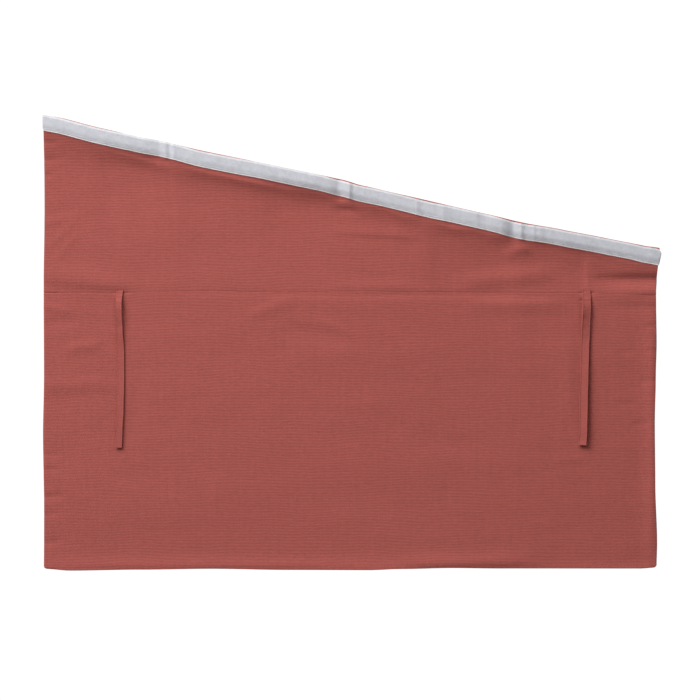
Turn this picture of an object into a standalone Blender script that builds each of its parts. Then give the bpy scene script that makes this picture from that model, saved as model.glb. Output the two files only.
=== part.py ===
"""A slanted canvas curtain for the end of a mid-high bed, in metres, +Z up.

The cloth hangs in the XZ plane with its front facing -Y. A level seam joins a slanted upper
panel to a straight lower one and holds two hanging ties. A loop tape runs along the front of
the slanted top edge. The origin is at the middle of that edge, in the plane of the tape's face.
"""

import math
from collections import namedtuple

import bmesh
import bpy

# Cut sizes
WIDTH = 0.986
MIDDLE_HEIGHT = 0.624
SLANT_DROP = 0.214
SEAM_HEIGHT = 0.448
SIDE_HEM = 0.022
BOTTOM_HEM = 0.020
SEAM_ALLOWANCE = 0.010
HEADING_TURN = 0.030
BOTTOM_LEFT_ROUND = 0.0075
BOTTOM_RIGHT_ROUND = 0.005

# Thicknesses and clearances
CLOTH = 0.0012
DOUBLED_CLOTH = 0.0024
TIE_THICKNESS = 0.0016
TAPE_THICKNESS = 0.0016
GAP = 0.0003

# How far the ties' sewn tops reach above the seam
TIE_ABOVE_SEAM = 0.0045

# Loop tape
TAPE_WIDTH = 0.025
TAPE_BELOW_EDGE = 0.0004
TAPE_PAST_LEFT = 0.0015
TAPE_PAST_RIGHT = 0.0105
TAPE_SQUARE_CORNER = 0.002
TAPE_ROUND_CORNER = 0.008

# Grid pitches
COLUMN_PITCH = 0.024
ROW_PITCH = 0.016
TIE_ROW_PITCH = 0.0125
HEM_STEP = 0.0012
# Below the top edge
TAPE_ROWS = (0.022, 0.018, 0.014)
# As shares of the way from the heading down to the seam allowance
ROWS_UNDER_HEADING = (0.03, 0.07, 0.12, 0.18, 0.26, 0.35, 0.45, 0.56, 0.67, 0.78, 0.89)
CORNER_SEGMENTS = 3

HALF_WIDTH = WIDTH / 2
BOTTOM_Z = -MIDDLE_HEIGHT
SEAM_Z = BOTTOM_Z + SEAM_HEIGHT
SLOPE = -SLANT_DROP / WIDTH
SLANT = math.atan(SLOPE)
TAPE_DROP = TAPE_WIDTH / math.cos(SLANT)
CLOTH_FRONT = TAPE_THICKNESS + GAP

# How far each edge strays from its straight line
Stray = namedtuple("Stray", "along out")
LEFT_EDGE = (  # along: height above the bottom edge; out: towards -X
    Stray(0.000, 0.0004),
    Stray(0.100, 0.0001),
    Stray(0.220, 0.0018),
    Stray(0.310, 0.0002),
    Stray(0.450, 0.0007),
    Stray(0.583, -0.0006),
    Stray(0.730, 0.0004),
)
RIGHT_EDGE = (  # along: height above the bottom edge; out: towards +X
    Stray(0.000, 0.0022),
    Stray(0.042, 0.0032),
    Stray(0.138, 0.0001),
    Stray(0.235, -0.0007),
    Stray(0.312, 0.0009),
    Stray(0.365, 0.0022),
    Stray(0.447, 0.0012),
    Stray(0.467, 0.0025),
    Stray(0.516, 0.0064),
)
BOTTOM_EDGE = (  # along: X; out: towards +Z
    Stray(-0.493, 0.0008),
    Stray(-0.450, -0.0021),
    Stray(-0.338, -0.0006),
    Stray(-0.225, 0.0008),
    Stray(-0.100, -0.0010),
    Stray(0.030, -0.0012),
    Stray(0.081, 0.0006),
    Stray(0.162, 0.0022),
    Stray(0.240, 0.0014),
    Stray(0.467, 0.0014),
    Stray(0.493, 0.0030),
)
TOP_EDGE = (  # along: X; out: towards +Z
    Stray(-0.493, 0.0019),
    Stray(-0.466, 0.0030),
    Stray(-0.402, 0.0005),
    Stray(-0.338, -0.0007),
    Stray(-0.305, 0.0005),
    Stray(-0.241, -0.0008),
    Stray(-0.120, 0.0004),
    Stray(-0.016, 0.0012),
    Stray(0.017, -0.0013),
    Stray(0.081, -0.0023),
    Stray(0.210, -0.0041),
    Stray(0.274, -0.0052),
    Stray(0.339, -0.0029),
    Stray(0.403, -0.0015),
    Stray(0.467, -0.0004),
    Stray(0.493, 0.0015),
)
SEAM_LINE = (  # along: X; out: towards +Z
    Stray(-0.493, -0.0013),
    Stray(-0.380, -0.0014),
    Stray(-0.215, 0.0014),
    Stray(-0.118, -0.0005),
    Stray(0.036, 0.0008),
    Stray(0.113, 0.0000),
    Stray(0.268, -0.0016),
    Stray(0.390, -0.0022),
    Stray(0.493, -0.0060),
)

# How the cloth hangs from the tape. wave: how far the tape stands forwards; fall: how far the
# cloth drops back below it, over reach; roll: a swell under the tape, roll_at below its edge
Hang = namedtuple("Hang", "along wave fall reach roll roll_at")
HANG = (
    Hang(-0.492, -0.0003, 0.0140, 0.018, 0.0000, 0.008),
    Hang(-0.418, -0.0001, 0.0160, 0.018, 0.0000, 0.008),
    Hang(-0.383, 0.0001, 0.0185, 0.017, 0.0005, 0.008),
    Hang(-0.338, 0.0003, 0.0175, 0.015, 0.0013, 0.010),
    Hang(-0.307, -0.0026, 0.0150, 0.015, 0.0011, 0.011),
    Hang(-0.297, -0.0018, 0.0145, 0.016, 0.0008, 0.011),
    Hang(-0.291, -0.0020, 0.0140, 0.016, 0.0006, 0.011),
    Hang(-0.280, -0.0005, 0.0140, 0.019, 0.0005, 0.009),
    Hang(-0.233, -0.0002, 0.0160, 0.019, 0.0016, 0.008),
    Hang(-0.160, 0.0000, 0.0165, 0.019, 0.0020, 0.008),
    Hang(-0.104, 0.0002, 0.0175, 0.014, 0.0012, 0.008),
    Hang(-0.061, 0.0004, 0.0170, 0.012, 0.0008, 0.003),
    Hang(-0.035, -0.0005, 0.0160, 0.012, 0.0008, 0.003),
    Hang(-0.017, -0.0031, 0.0150, 0.011, 0.0019, 0.010),
    Hang(0.000, -0.0003, 0.0148, 0.012, 0.0012, 0.007),
    Hang(0.007, -0.0013, 0.0146, 0.012, 0.0010, 0.006),
    Hang(0.049, -0.0009, 0.0135, 0.013, 0.0008, 0.001),
    Hang(0.088, -0.0005, 0.0120, 0.014, 0.0011, 0.008),
    Hang(0.107, -0.0005, 0.0115, 0.015, 0.0006, 0.008),
    Hang(0.120, -0.0014, 0.0115, 0.017, 0.0003, 0.008),
    Hang(0.151, -0.0004, 0.0145, 0.019, 0.0012, 0.008),
    Hang(0.165, -0.0009, 0.0150, 0.019, 0.0018, 0.008),
    Hang(0.200, -0.0003, 0.0155, 0.018, 0.0008, 0.004),
    Hang(0.216, -0.0010, 0.0160, 0.017, 0.0009, 0.005),
    Hang(0.244, 0.0009, 0.0155, 0.014, 0.0008, 0.005),
    Hang(0.264, -0.0033, 0.0130, 0.012, 0.0005, 0.007),
    Hang(0.276, -0.0015, 0.0125, 0.012, 0.0002, 0.008),
    Hang(0.284, -0.0019, 0.0125, 0.011, 0.0002, 0.006),
    Hang(0.297, -0.0012, 0.0135, 0.011, 0.0002, 0.003),
    Hang(0.319, -0.0018, 0.0135, 0.011, 0.0001, 0.002),
    Hang(0.368, -0.0012, 0.0130, 0.010, 0.0001, 0.002),
    Hang(0.403, -0.0012, 0.0095, 0.009, 0.0003, 0.003),
    Hang(0.455, -0.0011, 0.0070, 0.008, 0.0009, 0.006),
    Hang(0.492, -0.0007, 0.0070, 0.008, 0.0006, 0.006),
)
WAVE_FADE = 0.020
FALL_START = 0.012
FAR_FALL = 0.0120
FAR_FADE = 0.120
ROLL_ABOVE = 0.0036
ROLL_BELOW = 0.0090

# The sewn tape holds the cloth flat, and the seam half holds it along its own line
TAPE_HOLD = 0.002
TAPE_HOLD_FADE = 0.014
SEAM_HOLD = 0.5
SEAM_HOLD_SPREAD = 0.007
FOLD_TAPER = 0.35

# Soft ridges (rise above 0) and hollows (below 0), each along a straight crest with tapered ends;
# above and below: how far each side of the crest spreads
Fold = namedtuple("Fold", "name from_x from_z to_x to_z rise above below")
FOLDS = (
    Fold("ridge under tape, centre", -0.045, -0.076, 0.133, -0.090, 0.0013, 0.012, 0.006),
    Fold("hollow under wave, centre", -0.028, -0.040, 0.020, -0.048, -0.0016, 0.005, 0.008),
    Fold("pucker from tape", 0.245, -0.121, 0.297, -0.098, 0.0016, 0.008, 0.009),
    Fold("ridge under pucker", 0.162, -0.161, 0.355, -0.145, 0.0024, 0.014, 0.014),
    Fold("hollow at short side", 0.366, -0.156, 0.612, -0.156, -0.0044, 0.008, 0.013),
    Fold("ridge at short side", 0.397, -0.179, 0.612, -0.179, 0.0019, 0.010, 0.007),
    Fold("ridge over left tie", -0.531, -0.145, -0.328, -0.170, 0.0028, 0.022, 0.014),
    Fold("ridge across left tie", -0.466, -0.269, -0.392, -0.259, 0.0014, 0.008, 0.009),
    Fold("ridge at left tie's end", -0.547, -0.328, -0.347, -0.328, 0.0012, 0.010, 0.012),
    Fold("swell over seam", -0.059, -0.170, 0.133, -0.170, 0.0010, 0.010, 0.010),
    Fold("ridge below seam, left", -0.177, -0.219, -0.080, -0.183, 0.0014, 0.008, 0.014),
    Fold("ridge below seam, middle", -0.128, -0.191, 0.129, -0.191, 0.0011, 0.007, 0.018),
    Fold("hollow below seam", -0.131, -0.227, 0.020, -0.257, -0.0015, 0.011, 0.020),
    Fold("ridge below seam, right", 0.174, -0.196, 0.377, -0.195, 0.0021, 0.009, 0.015),
    Fold("sag, upper part", 0.030, -0.364, 0.100, -0.406, -0.0009, 0.012, 0.016),
    Fold("sag, lower part", 0.081, -0.409, 0.242, -0.425, -0.0008, 0.012, 0.018),
    Fold("bottom hem stands out, left", -0.660, -0.628, 0.339, -0.626, 0.0042, 0.017, 0.012),
    Fold("bottom hem bows out", 0.049, -0.6145, 0.339, -0.6120, 0.0033, 0.015, 0.0065),
    Fold("bottom hem stands out, right", 0.242, -0.628, 0.693, -0.626, 0.0025, 0.012, 0.012),
    Fold("side hem stands out", 0.487, -0.077, 0.487, -0.737, 0.0024, 0.013, 0.013),
)

# A tie's centre line; sideways is from its first row, stand_off is clear of the cloth behind it
TieRow = namedtuple("TieRow", "drop sideways stand_off")
Tie = namedtuple("Tie", "name x width length rows")
TIES = (
    Tie("tie_left", -0.3706, 0.0118, 0.2550, (
        TieRow(0.000, 0.0000, 0.0005),
        TieRow(0.009, -0.0013, 0.0012),
        TieRow(0.025, -0.0018, 0.0053),
        TieRow(0.042, -0.0014, 0.0052),
        TieRow(0.065, -0.0001, 0.0034),
        TieRow(0.100, 0.0009, 0.0018),
        TieRow(0.145, 0.0013, 0.0015),
        TieRow(0.195, 0.0006, 0.0026),
        TieRow(0.225, -0.0007, 0.0029),
        TieRow(0.255, -0.0020, 0.0031),
    )),
    Tie("tie_right", 0.3820, 0.0132, 0.2500, (
        TieRow(0.000, 0.0000, 0.0005),
        TieRow(0.009, 0.0003, 0.0012),
        TieRow(0.026, 0.0003, 0.0055),
        TieRow(0.036, -0.0001, 0.0063),
        TieRow(0.050, -0.0008, 0.0052),
        TieRow(0.065, -0.0014, 0.0044),
        TieRow(0.100, -0.0027, 0.0038),
        TieRow(0.140, -0.0037, 0.0047),
        TieRow(0.178, -0.0047, 0.0054),
        TieRow(0.225, -0.0053, 0.0062),
        TieRow(0.250, -0.0067, 0.0048),
    )),
)

CANVAS_RED = (0.347, 0.098, 0.082, 1.0)
TIE_RED = (0.352, 0.100, 0.086, 1.0)
TAPE_GREY = (0.580, 0.585, 0.610, 1.0)


def mix(start, end, share):
    return start + (end - start) * share


def smooth(share):
    """0 to 1 with level ends."""
    share = min(max(share, 0.0), 1.0)
    return share * share * (3 - 2 * share)


def along_table(rows, at, column):
    """The named column of a table at a place between its rows, which the first column gives."""
    if at <= rows[0][0]:
        return getattr(rows[0], column)
    for before, after in zip(rows, rows[1:]):
        if at <= after[0]:
            share = smooth((at - before[0]) / (after[0] - before[0]))
            return mix(getattr(before, column), getattr(after, column), share)
    return getattr(rows[-1], column)


def top_z(x):
    return SLOPE * x + along_table(TOP_EDGE, x, "out")


def bottom_z(x):
    return BOTTOM_Z + along_table(BOTTOM_EDGE, x, "out")


def seam_z(x):
    return SEAM_Z + along_table(SEAM_LINE, x, "out")


def side_x(share, z):
    """X at a share of the width, from the left edge's stray to the right edge's."""
    height = z - BOTTOM_Z
    left = -HALF_WIDTH - along_table(LEFT_EDGE, height, "out")
    right = HALF_WIDTH + along_table(RIGHT_EDGE, height, "out")
    return mix(left, right, share)


def below_tape(x, z):
    return top_z(x) - TAPE_BELOW_EDGE - TAPE_DROP - z


def hang_rise(x, z):
    """The tape's waves, and the cloth's fall back behind it, which starts inside the tape."""
    wave, fall, reach, roll, roll_at = (along_table(HANG, x, name) for name in Hang._fields[1:])
    below = below_tape(x, z)
    turns = max(below + FALL_START, 0) / reach
    fallen = 1 - (1 + turns) * math.exp(-turns)
    full_fall = mix(FAR_FALL, fall, math.exp(-max(below, 0) / FAR_FADE))
    spread = ROLL_ABOVE if below < roll_at else ROLL_BELOW
    swell = roll * smooth(below / ROLL_ABOVE) * math.exp(-(((below - roll_at) / spread) ** 2))
    return wave * (1 - smooth(below / WAVE_FADE)) - fallen * full_fall + swell


def fold_rise(fold, x, z):
    """A bell across the crest, tapered towards both of its ends."""
    run_x, run_z = fold.to_x - fold.from_x, fold.to_z - fold.from_z
    length = math.hypot(run_x, run_z)
    share = ((x - fold.from_x) * run_x + (z - fold.from_z) * run_z) / length**2
    away = ((z - fold.from_z) * run_x - (x - fold.from_x) * run_z) / length
    taper = smooth(share / FOLD_TAPER) * smooth((1 - share) / FOLD_TAPER)
    spread = fold.above if away > 0 else fold.below
    return fold.rise * taper * math.exp(-((away / spread) ** 2))


def relief(x, z):
    """How far the hanging cloth stands in front of its flat plane. No fold reaches the tape."""
    free_of_tape = smooth((below_tape(x, z) - TAPE_HOLD) / TAPE_HOLD_FADE)
    free_of_seam = 1 - SEAM_HOLD * math.exp(-(((z - seam_z(x)) / SEAM_HOLD_SPREAD) ** 2))
    folds = sum(fold_rise(fold, x, z) for fold in FOLDS)
    return hang_rise(x, z) + free_of_tape * free_of_seam * folds


def even_lines(start, end, count):
    return [mix(start, end, i / count) for i in range(count + 1)]


def column_lines(spots=()):
    """Distances from the left edge of a panel's grid lines, with one at each of the spots."""
    lines = []
    for inward in (0, SIDE_HEM / 2, SIDE_HEM, SIDE_HEM + HEM_STEP):
        lines += [inward, WIDTH - inward]
    for line in [spot + HALF_WIDTH for spot in spots] + even_lines(0, WIDTH, round(WIDTH / COLUMN_PITCH)):
        if min(abs(line - other) for other in lines) > COLUMN_PITCH / 4:
            lines.append(line)
    return sorted(lines)


def hang_spots():
    """The places of the hang's rows, and those halfway between two close ones."""
    places = [row.along for row in HANG]
    halfway = [(a + b) / 2 for a, b in zip(places, places[1:]) if b - a < 2 * COLUMN_PITCH]
    return places + halfway


def sheet_object(name, columns, rows, place, rounds):
    """An open grid with its front face towards -Y.

    place gives (x, z) for a column and a row line, and rounds gives the radius of each corner
    that is rounded, by its (column, row) index.
    """
    across, down = len(columns) - 1, len(rows) - 1
    mesh = bmesh.new()
    bmesh.ops.create_grid(mesh, x_segments=across, y_segments=down, size=1)
    corners = {}
    for vert in mesh.verts:
        column = round((vert.co.x + 1) / 2 * across)
        row = round((vert.co.y + 1) / 2 * down)
        if (column, row) in rounds:
            corners[column, row] = vert
        x, z = place(columns[column], rows[row])
        vert.co = (x, CLOTH_FRONT, z)
    for index, vert in corners.items():
        bmesh.ops.bevel(
            mesh,
            geom=[vert],
            offset=rounds[index],
            segments=CORNER_SEGMENTS,
            profile=0.5,
            affect="VERTICES",
        )
    data = bpy.data.meshes.new(name)
    mesh.to_mesh(data)
    mesh.free()
    sheet = bpy.data.objects.new(name, data)
    curtain.objects.link(sheet)
    return sheet


def thicken(sheet, thickness, doubled=None):
    """Gives the sheet its thickness behind its front face, all of it only where it is doubled."""
    solidify = sheet.modifiers.new("Thickness", "SOLIDIFY")
    solidify.thickness = thickness
    solidify.offset = -1
    if doubled:
        group = sheet.vertex_groups.new(name="doubled")
        group.add([v.index for v in sheet.data.vertices if doubled(v.co.x, v.co.z)], 1.0, "REPLACE")
        solidify.vertex_group = group.name
        solidify.thickness_vertex_group = CLOTH / DOUBLED_CLOTH
    bpy.context.view_layer.update()
    solid = bpy.data.meshes.new_from_object(sheet.evaluated_get(bpy.context.evaluated_depsgraph_get()))
    solid.name = sheet.name
    sheet.modifiers.clear()
    sheet.vertex_groups.clear()
    sheet.data = solid


def hang(sheet, stand_in_front):
    """Moves every point towards the front by what stand_in_front gives for its x and z."""
    for vert in sheet.data.vertices:
        vert.co.y -= stand_in_front(vert.co.x, vert.co.z)
    sheet.data.set_sharp_from_angle(angle=math.radians(40))


def paint(sheet, name, colour, roughness):
    material = bpy.data.materials.get(name) or bpy.data.materials.new(name)
    material.use_nodes = True
    shader = material.node_tree.nodes["Principled BSDF"]
    shader.inputs["Base Color"].default_value = colour
    shader.inputs["Roughness"].default_value = roughness
    shader.inputs["Metallic"].default_value = 0.0
    material.diffuse_color = colour
    sheet.data.materials.clear()
    sheet.data.materials.append(material)


def in_side_hem(x, z):
    at_left = x < side_x(SIDE_HEM / WIDTH, z) + HEM_STEP / 2
    return at_left or x > side_x(1 - SIDE_HEM / WIDTH, z) - HEM_STEP / 2


def make_lower_panel():
    """The straight panel, with side hems, a bottom hem and the seam's turned edge on top."""
    body_start = BOTTOM_HEM + HEM_STEP
    body_end = SEAM_HEIGHT - SEAM_ALLOWANCE - HEM_STEP
    rows = [0, BOTTOM_HEM / 2, BOTTOM_HEM]
    rows += even_lines(body_start, body_end, round((body_end - body_start) / ROW_PITCH))
    rows += [SEAM_HEIGHT - SEAM_ALLOWANCE, SEAM_HEIGHT - SEAM_ALLOWANCE / 2, SEAM_HEIGHT]
    columns = column_lines()

    def place(column, row):
        x = column - HALF_WIDTH
        z = mix(bottom_z(x), seam_z(x) - GAP / 2, row / SEAM_HEIGHT)
        return side_x(column / WIDTH, z), z

    def doubled(x, z):
        in_bottom_hem = z < bottom_z(x) + BOTTOM_HEM + HEM_STEP / 2
        in_seam = z > seam_z(x) - SEAM_ALLOWANCE - HEM_STEP / 2
        return in_bottom_hem or in_seam or in_side_hem(x, z)

    rounds = {(0, 0): BOTTOM_LEFT_ROUND, (len(columns) - 1, 0): BOTTOM_RIGHT_ROUND}
    panel = sheet_object("lower_panel", columns, rows, place, rounds)
    thicken(panel, DOUBLED_CLOTH, doubled)
    hang(panel, relief)
    paint(panel, "canvas", CANVAS_RED, 0.9)


def make_upper_panel():
    """The slanted panel, with side hems, the seam's turned edge below and a heading above."""
    from_seam = [0, SEAM_ALLOWANCE / 2, SEAM_ALLOWANCE, SEAM_ALLOWANCE + HEM_STEP]
    from_top = [HEADING_TURN + HEM_STEP, HEADING_TURN, TAPE_BELOW_EDGE + TAPE_DROP, *TAPE_ROWS, 0]
    rows = [("seam", distance) for distance in from_seam]
    rows += [("between", 1 - share) for share in reversed(ROWS_UNDER_HEADING)]
    rows += [("top", distance) for distance in from_top]
    columns = column_lines(hang_spots())

    def row_z(x, row):
        start, value = row
        if start == "seam":
            return seam_z(x) + GAP / 2 + value
        if start == "top":
            return top_z(x) - value
        return mix(row_z(x, ("seam", from_seam[-1])), row_z(x, ("top", from_top[0])), value)

    def place(column, row):
        z = row_z(column - HALF_WIDTH, row)
        return side_x(column / WIDTH, z), z

    def doubled(x, z):
        in_seam = z < seam_z(x) + SEAM_ALLOWANCE + HEM_STEP / 2
        in_heading = z > top_z(x) - HEADING_TURN - HEM_STEP / 2
        return in_seam or in_heading or in_side_hem(x, z)

    panel = sheet_object("upper_panel", columns, rows, place, {})
    thicken(panel, DOUBLED_CLOTH, doubled)
    hang(panel, relief)
    paint(panel, "canvas", CANVAS_RED, 0.9)


def make_tape():
    """The loop tape on the front of the top edge, a little longer than the cloth is wide."""
    columns = column_lines(hang_spots())
    last = len(columns) - 1
    columns[0] -= TAPE_PAST_LEFT
    columns[last] += TAPE_PAST_RIGHT
    rows = [TAPE_BELOW_EDGE + TAPE_DROP, *TAPE_ROWS, TAPE_BELOW_EDGE]

    def place(column, row):
        x = column - HALF_WIDTH
        z = top_z(x) - row
        if column == columns[last]:
            return x - (row - TAPE_BELOW_EDGE) * math.cos(SLANT) * math.sin(-SLANT), z
        return side_x(column / WIDTH, z) if column > 0 else x, z

    top = len(rows) - 1
    rounds = {(0, 0): TAPE_SQUARE_CORNER, (0, top): TAPE_SQUARE_CORNER, (last, top): TAPE_ROUND_CORNER}
    tape = sheet_object("loop_tape", columns, rows, place, rounds)
    thicken(tape, TAPE_THICKNESS)
    hang(tape, lambda x, z: GAP + TAPE_THICKNESS + relief(x, z))
    paint(tape, "loop_tape", TAPE_GREY, 0.85)


def make_tie(tie):
    """A narrow folded strip, sewn over the seam at its top and hanging free below."""
    rows = even_lines(0, 1, round(tie.length / TIE_ROW_PITCH))
    top = seam_z(tie.x) + TIE_ABOVE_SEAM

    def place(column, row):
        drop = tie.length * (1 - row)
        centre = tie.x + along_table(tie.rows, drop, "sideways")
        return centre + tie.width * column, top - drop

    def stand_in_front(x, z):
        return TIE_THICKNESS + along_table(tie.rows, top - z, "stand_off") + relief(x, z)

    strip = sheet_object(tie.name, [-0.5, 0.5], rows, place, {})
    thicken(strip, TIE_THICKNESS)
    hang(strip, stand_in_front)
    paint(strip, "tie", TIE_RED, 0.9)


def clear_scene():
    for leftover in list(bpy.data.objects):
        bpy.data.objects.remove(leftover)


clear_scene()
curtain = bpy.data.collections.new("bed_curtain")
bpy.context.scene.collection.children.link(curtain)
make_upper_panel()
make_lower_panel()
make_tape()
for each_tie in TIES:
    make_tie(each_tie)
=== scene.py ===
"""The finished look of a slanted canvas bed curtain, in metres, +Z up, front towards -Y.

Each panel is one sheet with its hems really turned, the tape is a strip with a raised nap between
two selvedges, each tie is a folded strip, and every row of sewing is laid stitch by stitch.
"""

import math
import random
from collections import namedtuple

import bpy
import numpy as np
from bpy.props import FloatProperty, FloatVectorProperty, PointerProperty
from bpy.types import Operator, Panel, PropertyGroup
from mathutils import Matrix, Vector, noise


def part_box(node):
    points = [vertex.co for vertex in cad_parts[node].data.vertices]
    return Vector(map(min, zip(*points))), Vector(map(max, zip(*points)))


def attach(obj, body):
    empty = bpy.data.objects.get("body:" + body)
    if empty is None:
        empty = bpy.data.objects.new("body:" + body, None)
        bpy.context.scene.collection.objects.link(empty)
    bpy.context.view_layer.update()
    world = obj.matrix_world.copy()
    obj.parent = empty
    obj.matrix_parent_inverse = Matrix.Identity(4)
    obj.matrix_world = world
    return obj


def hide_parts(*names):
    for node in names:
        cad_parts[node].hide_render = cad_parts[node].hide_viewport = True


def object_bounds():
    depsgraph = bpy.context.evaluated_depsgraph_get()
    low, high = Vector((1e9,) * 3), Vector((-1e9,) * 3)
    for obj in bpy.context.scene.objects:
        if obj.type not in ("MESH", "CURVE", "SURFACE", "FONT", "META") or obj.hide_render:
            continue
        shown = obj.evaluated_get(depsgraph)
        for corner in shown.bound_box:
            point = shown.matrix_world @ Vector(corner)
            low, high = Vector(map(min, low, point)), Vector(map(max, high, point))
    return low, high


bl_info = {
    "name": "Slanted bed curtain",
    "version": (1, 0, 0),
    "blender": (4, 5, 0),
    "location": "3D View > Sidebar > Bed curtain",
    "description": "Builds a slanted canvas bed curtain around its packed frame",
    "category": "Add Mesh",
}

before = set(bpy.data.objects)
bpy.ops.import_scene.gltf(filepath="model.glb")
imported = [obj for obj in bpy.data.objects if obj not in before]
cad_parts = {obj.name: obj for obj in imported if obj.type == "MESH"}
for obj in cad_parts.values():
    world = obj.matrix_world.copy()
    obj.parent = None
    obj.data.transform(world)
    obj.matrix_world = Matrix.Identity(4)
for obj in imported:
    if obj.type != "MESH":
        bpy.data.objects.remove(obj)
CAD_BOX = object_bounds()

# Finished outline of the curtain. The level seam is measured from the bottom edge.
WIDTH = 0.986
MIDDLE_HEIGHT = 0.624
SLANT_DROP = 0.214
SEAM_HEIGHT = 0.448
HALF_WIDTH = WIDTH / 2
BOTTOM_Z = -MIDDLE_HEIGHT
SEAM_Z = BOTTOM_Z + SEAM_HEIGHT
SLOPE = -SLANT_DROP / WIDTH
SLANT = math.atan(SLOPE)

# The tape's face lies in y = 0 and the cloth starts right behind the tape
TAPE_WIDTH = 0.025
TAPE_DROP = TAPE_WIDTH / math.cos(SLANT)
TAPE_BELOW_EDGE = 0.0004
TAPE_PAST_LEFT = 0.0015
TAPE_PAST_RIGHT = 0.0105
CLOTH_FRONT = 0.0019
TAPE_SINK = 0.00005
LOWER_SELVEDGE_PAINTED_HIGHLIGHT = 0.48  # painted highlight: how much lighter the lower selvedge is painted than the upper, for the light from above that catches its forward curl
TAPE_LIP = 0.00035  # how far the lower selvedge curls forward
TAPE_LIP_REACH = 0.0024
TAPE_BACKING = 0.0003
TAPE_END_LEAN = 0.060
TAPE_END_ROUND = 0.0006
SELVEDGE_ROUND = 0.0004
NAP_SHOULDER = 0.0012
NAP_FALL = 0.12  # the share by which the nap is lower along the lower selvedge
NAP_FALL_REACH = 0.0060
NAP_START = 0.0008
NAP_FADE = 0.0006
TAPE_CLEAR = 0.0001  # room for the nap's clumps behind the front plane
SELVEDGE_THIN = 0.35  # how thick the tape is along its very edge, as a share
TAPE_END_THIN = 0.3  # the same at its cut ends
TAPE_LEFT_ROUND = 0.002
TAPE_RIGHT_TOP_ROUND = 0.008
TAPE_RIGHT_LOW_ROUND = 0.0012
# Reach and pitch of the finer grid lines at the tape's ends and along its edges
TAPE_LEFT_BAND = (0.003, 0.0005)
TAPE_RIGHT_BAND = (0.010, 0.0007)
TAPE_EDGE_BAND = (0.0034, 0.0004)


def table(kind, *rows):
    """The rows of a table, each with the named columns of its kind."""
    return [kind(*row) for row in rows]


# How far each edge strays from its straight line
Stray = namedtuple("Stray", "along out")
LEFT_EDGE = table(  # along: height above the bottom edge; out: towards -X
    Stray,
    (0.000, 0.0004), (0.100, 0.0001), (0.220, 0.0018), (0.310, 0.0002), (0.450, 0.0007),
    (0.583, -0.0006), (0.730, 0.0004),
)
RIGHT_EDGE = table(  # along: height above the bottom edge; out: towards +X
    Stray,
    (0.000, 0.0022), (0.042, 0.0032), (0.138, 0.0001), (0.235, -0.0007), (0.312, 0.0009),
    (0.365, 0.0022), (0.447, 0.0012), (0.467, 0.0025), (0.516, 0.0064),
)
BOTTOM_EDGE = table(  # along: X; out: towards +Z
    Stray,
    (-0.493, 0.0008), (-0.450, -0.0021), (-0.338, -0.0006), (-0.225, 0.0008), (-0.100, -0.0010),
    (0.030, -0.0012), (0.081, 0.0006), (0.162, 0.0022), (0.240, 0.0014), (0.467, 0.0014),
    (0.493, 0.0030),
)
TOP_EDGE = table(  # along: X; out: towards +Z
    Stray,
    (-0.493, 0.0019), (-0.466, 0.0030), (-0.402, 0.0005), (-0.338, -0.0007), (-0.305, 0.0005),
    (-0.241, -0.0008), (-0.120, 0.0004), (-0.016, 0.0012), (0.017, -0.0013), (0.081, -0.0023),
    (0.210, -0.0041), (0.274, -0.0052), (0.339, -0.0029), (0.403, -0.0015), (0.467, -0.0004),
    (0.493, 0.0015),
)
SEAM_LINE = table(  # along: X; out: towards +Z
    Stray,
    (-0.493, -0.0013), (-0.380, -0.0014), (-0.215, 0.0014), (-0.118, -0.0005), (0.036, 0.0008),
    (0.113, 0.0000), (0.268, -0.0016), (0.390, -0.0022), (0.493, -0.0060),
)
TAPE_LINE = table(  # along: X; out: how far the tape lies below the cloth's top edge
    Stray,
    (-0.494, 0.0000), (-0.450, 0.0010), (-0.390, 0.0008), (-0.345, -0.0004), (-0.290, -0.0004),
    (-0.240, 0.0009), (-0.190, 0.0006), (-0.140, -0.0004), (-0.050, -0.0004), (-0.020, 0.0010),
    (0.010, 0.0006), (0.060, -0.0004), (0.125, 0.0009), (0.170, -0.0004), (0.225, -0.0004),
    (0.270, 0.0010), (0.320, 0.0000), (0.450, -0.0004), (0.492, 0.0008),
)
# Puckers right across the tape: rise is the height of each, or its depth below 0
Pucker = namedtuple("Pucker", "along rise spread")
TAPE_PUCKERS = table(
    Pucker,
    (-0.3075, -0.00055, 0.0055),
    (-0.2957, 0.00075, 0.0030),
    (-0.2835, 0.00060, 0.0030),
    (-0.0490, -0.00030, 0.0030),
    (-0.0180, -0.00055, 0.0050),
    (-0.0005, 0.00090, 0.0031),
    (0.1090, 0.00040, 0.0035),
    (0.1500, 0.00040, 0.0045),
    (0.2060, 0.00030, 0.0040),
    (0.2620, -0.00060, 0.0055),
    (0.2765, 0.00070, 0.0034),
    (0.2965, 0.00050, 0.0034),
    (0.3090, 0.00040, 0.0050),
)
# Clumps of the nap: length along the tape, size across it, height, and place in the noise
Clump = namedtuple("Clump", "along across height slice")
NAP_CLUMPS = table(
    Clump,
    (0.0045, 0.0026, 0.00010, 1.5),
    (0.0018, 0.0014, 0.00008, 8.5),
)
BOTTOM_LEFT_ROUND = 0.0050
BOTTOM_RIGHT_ROUND = 0.0050

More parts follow.
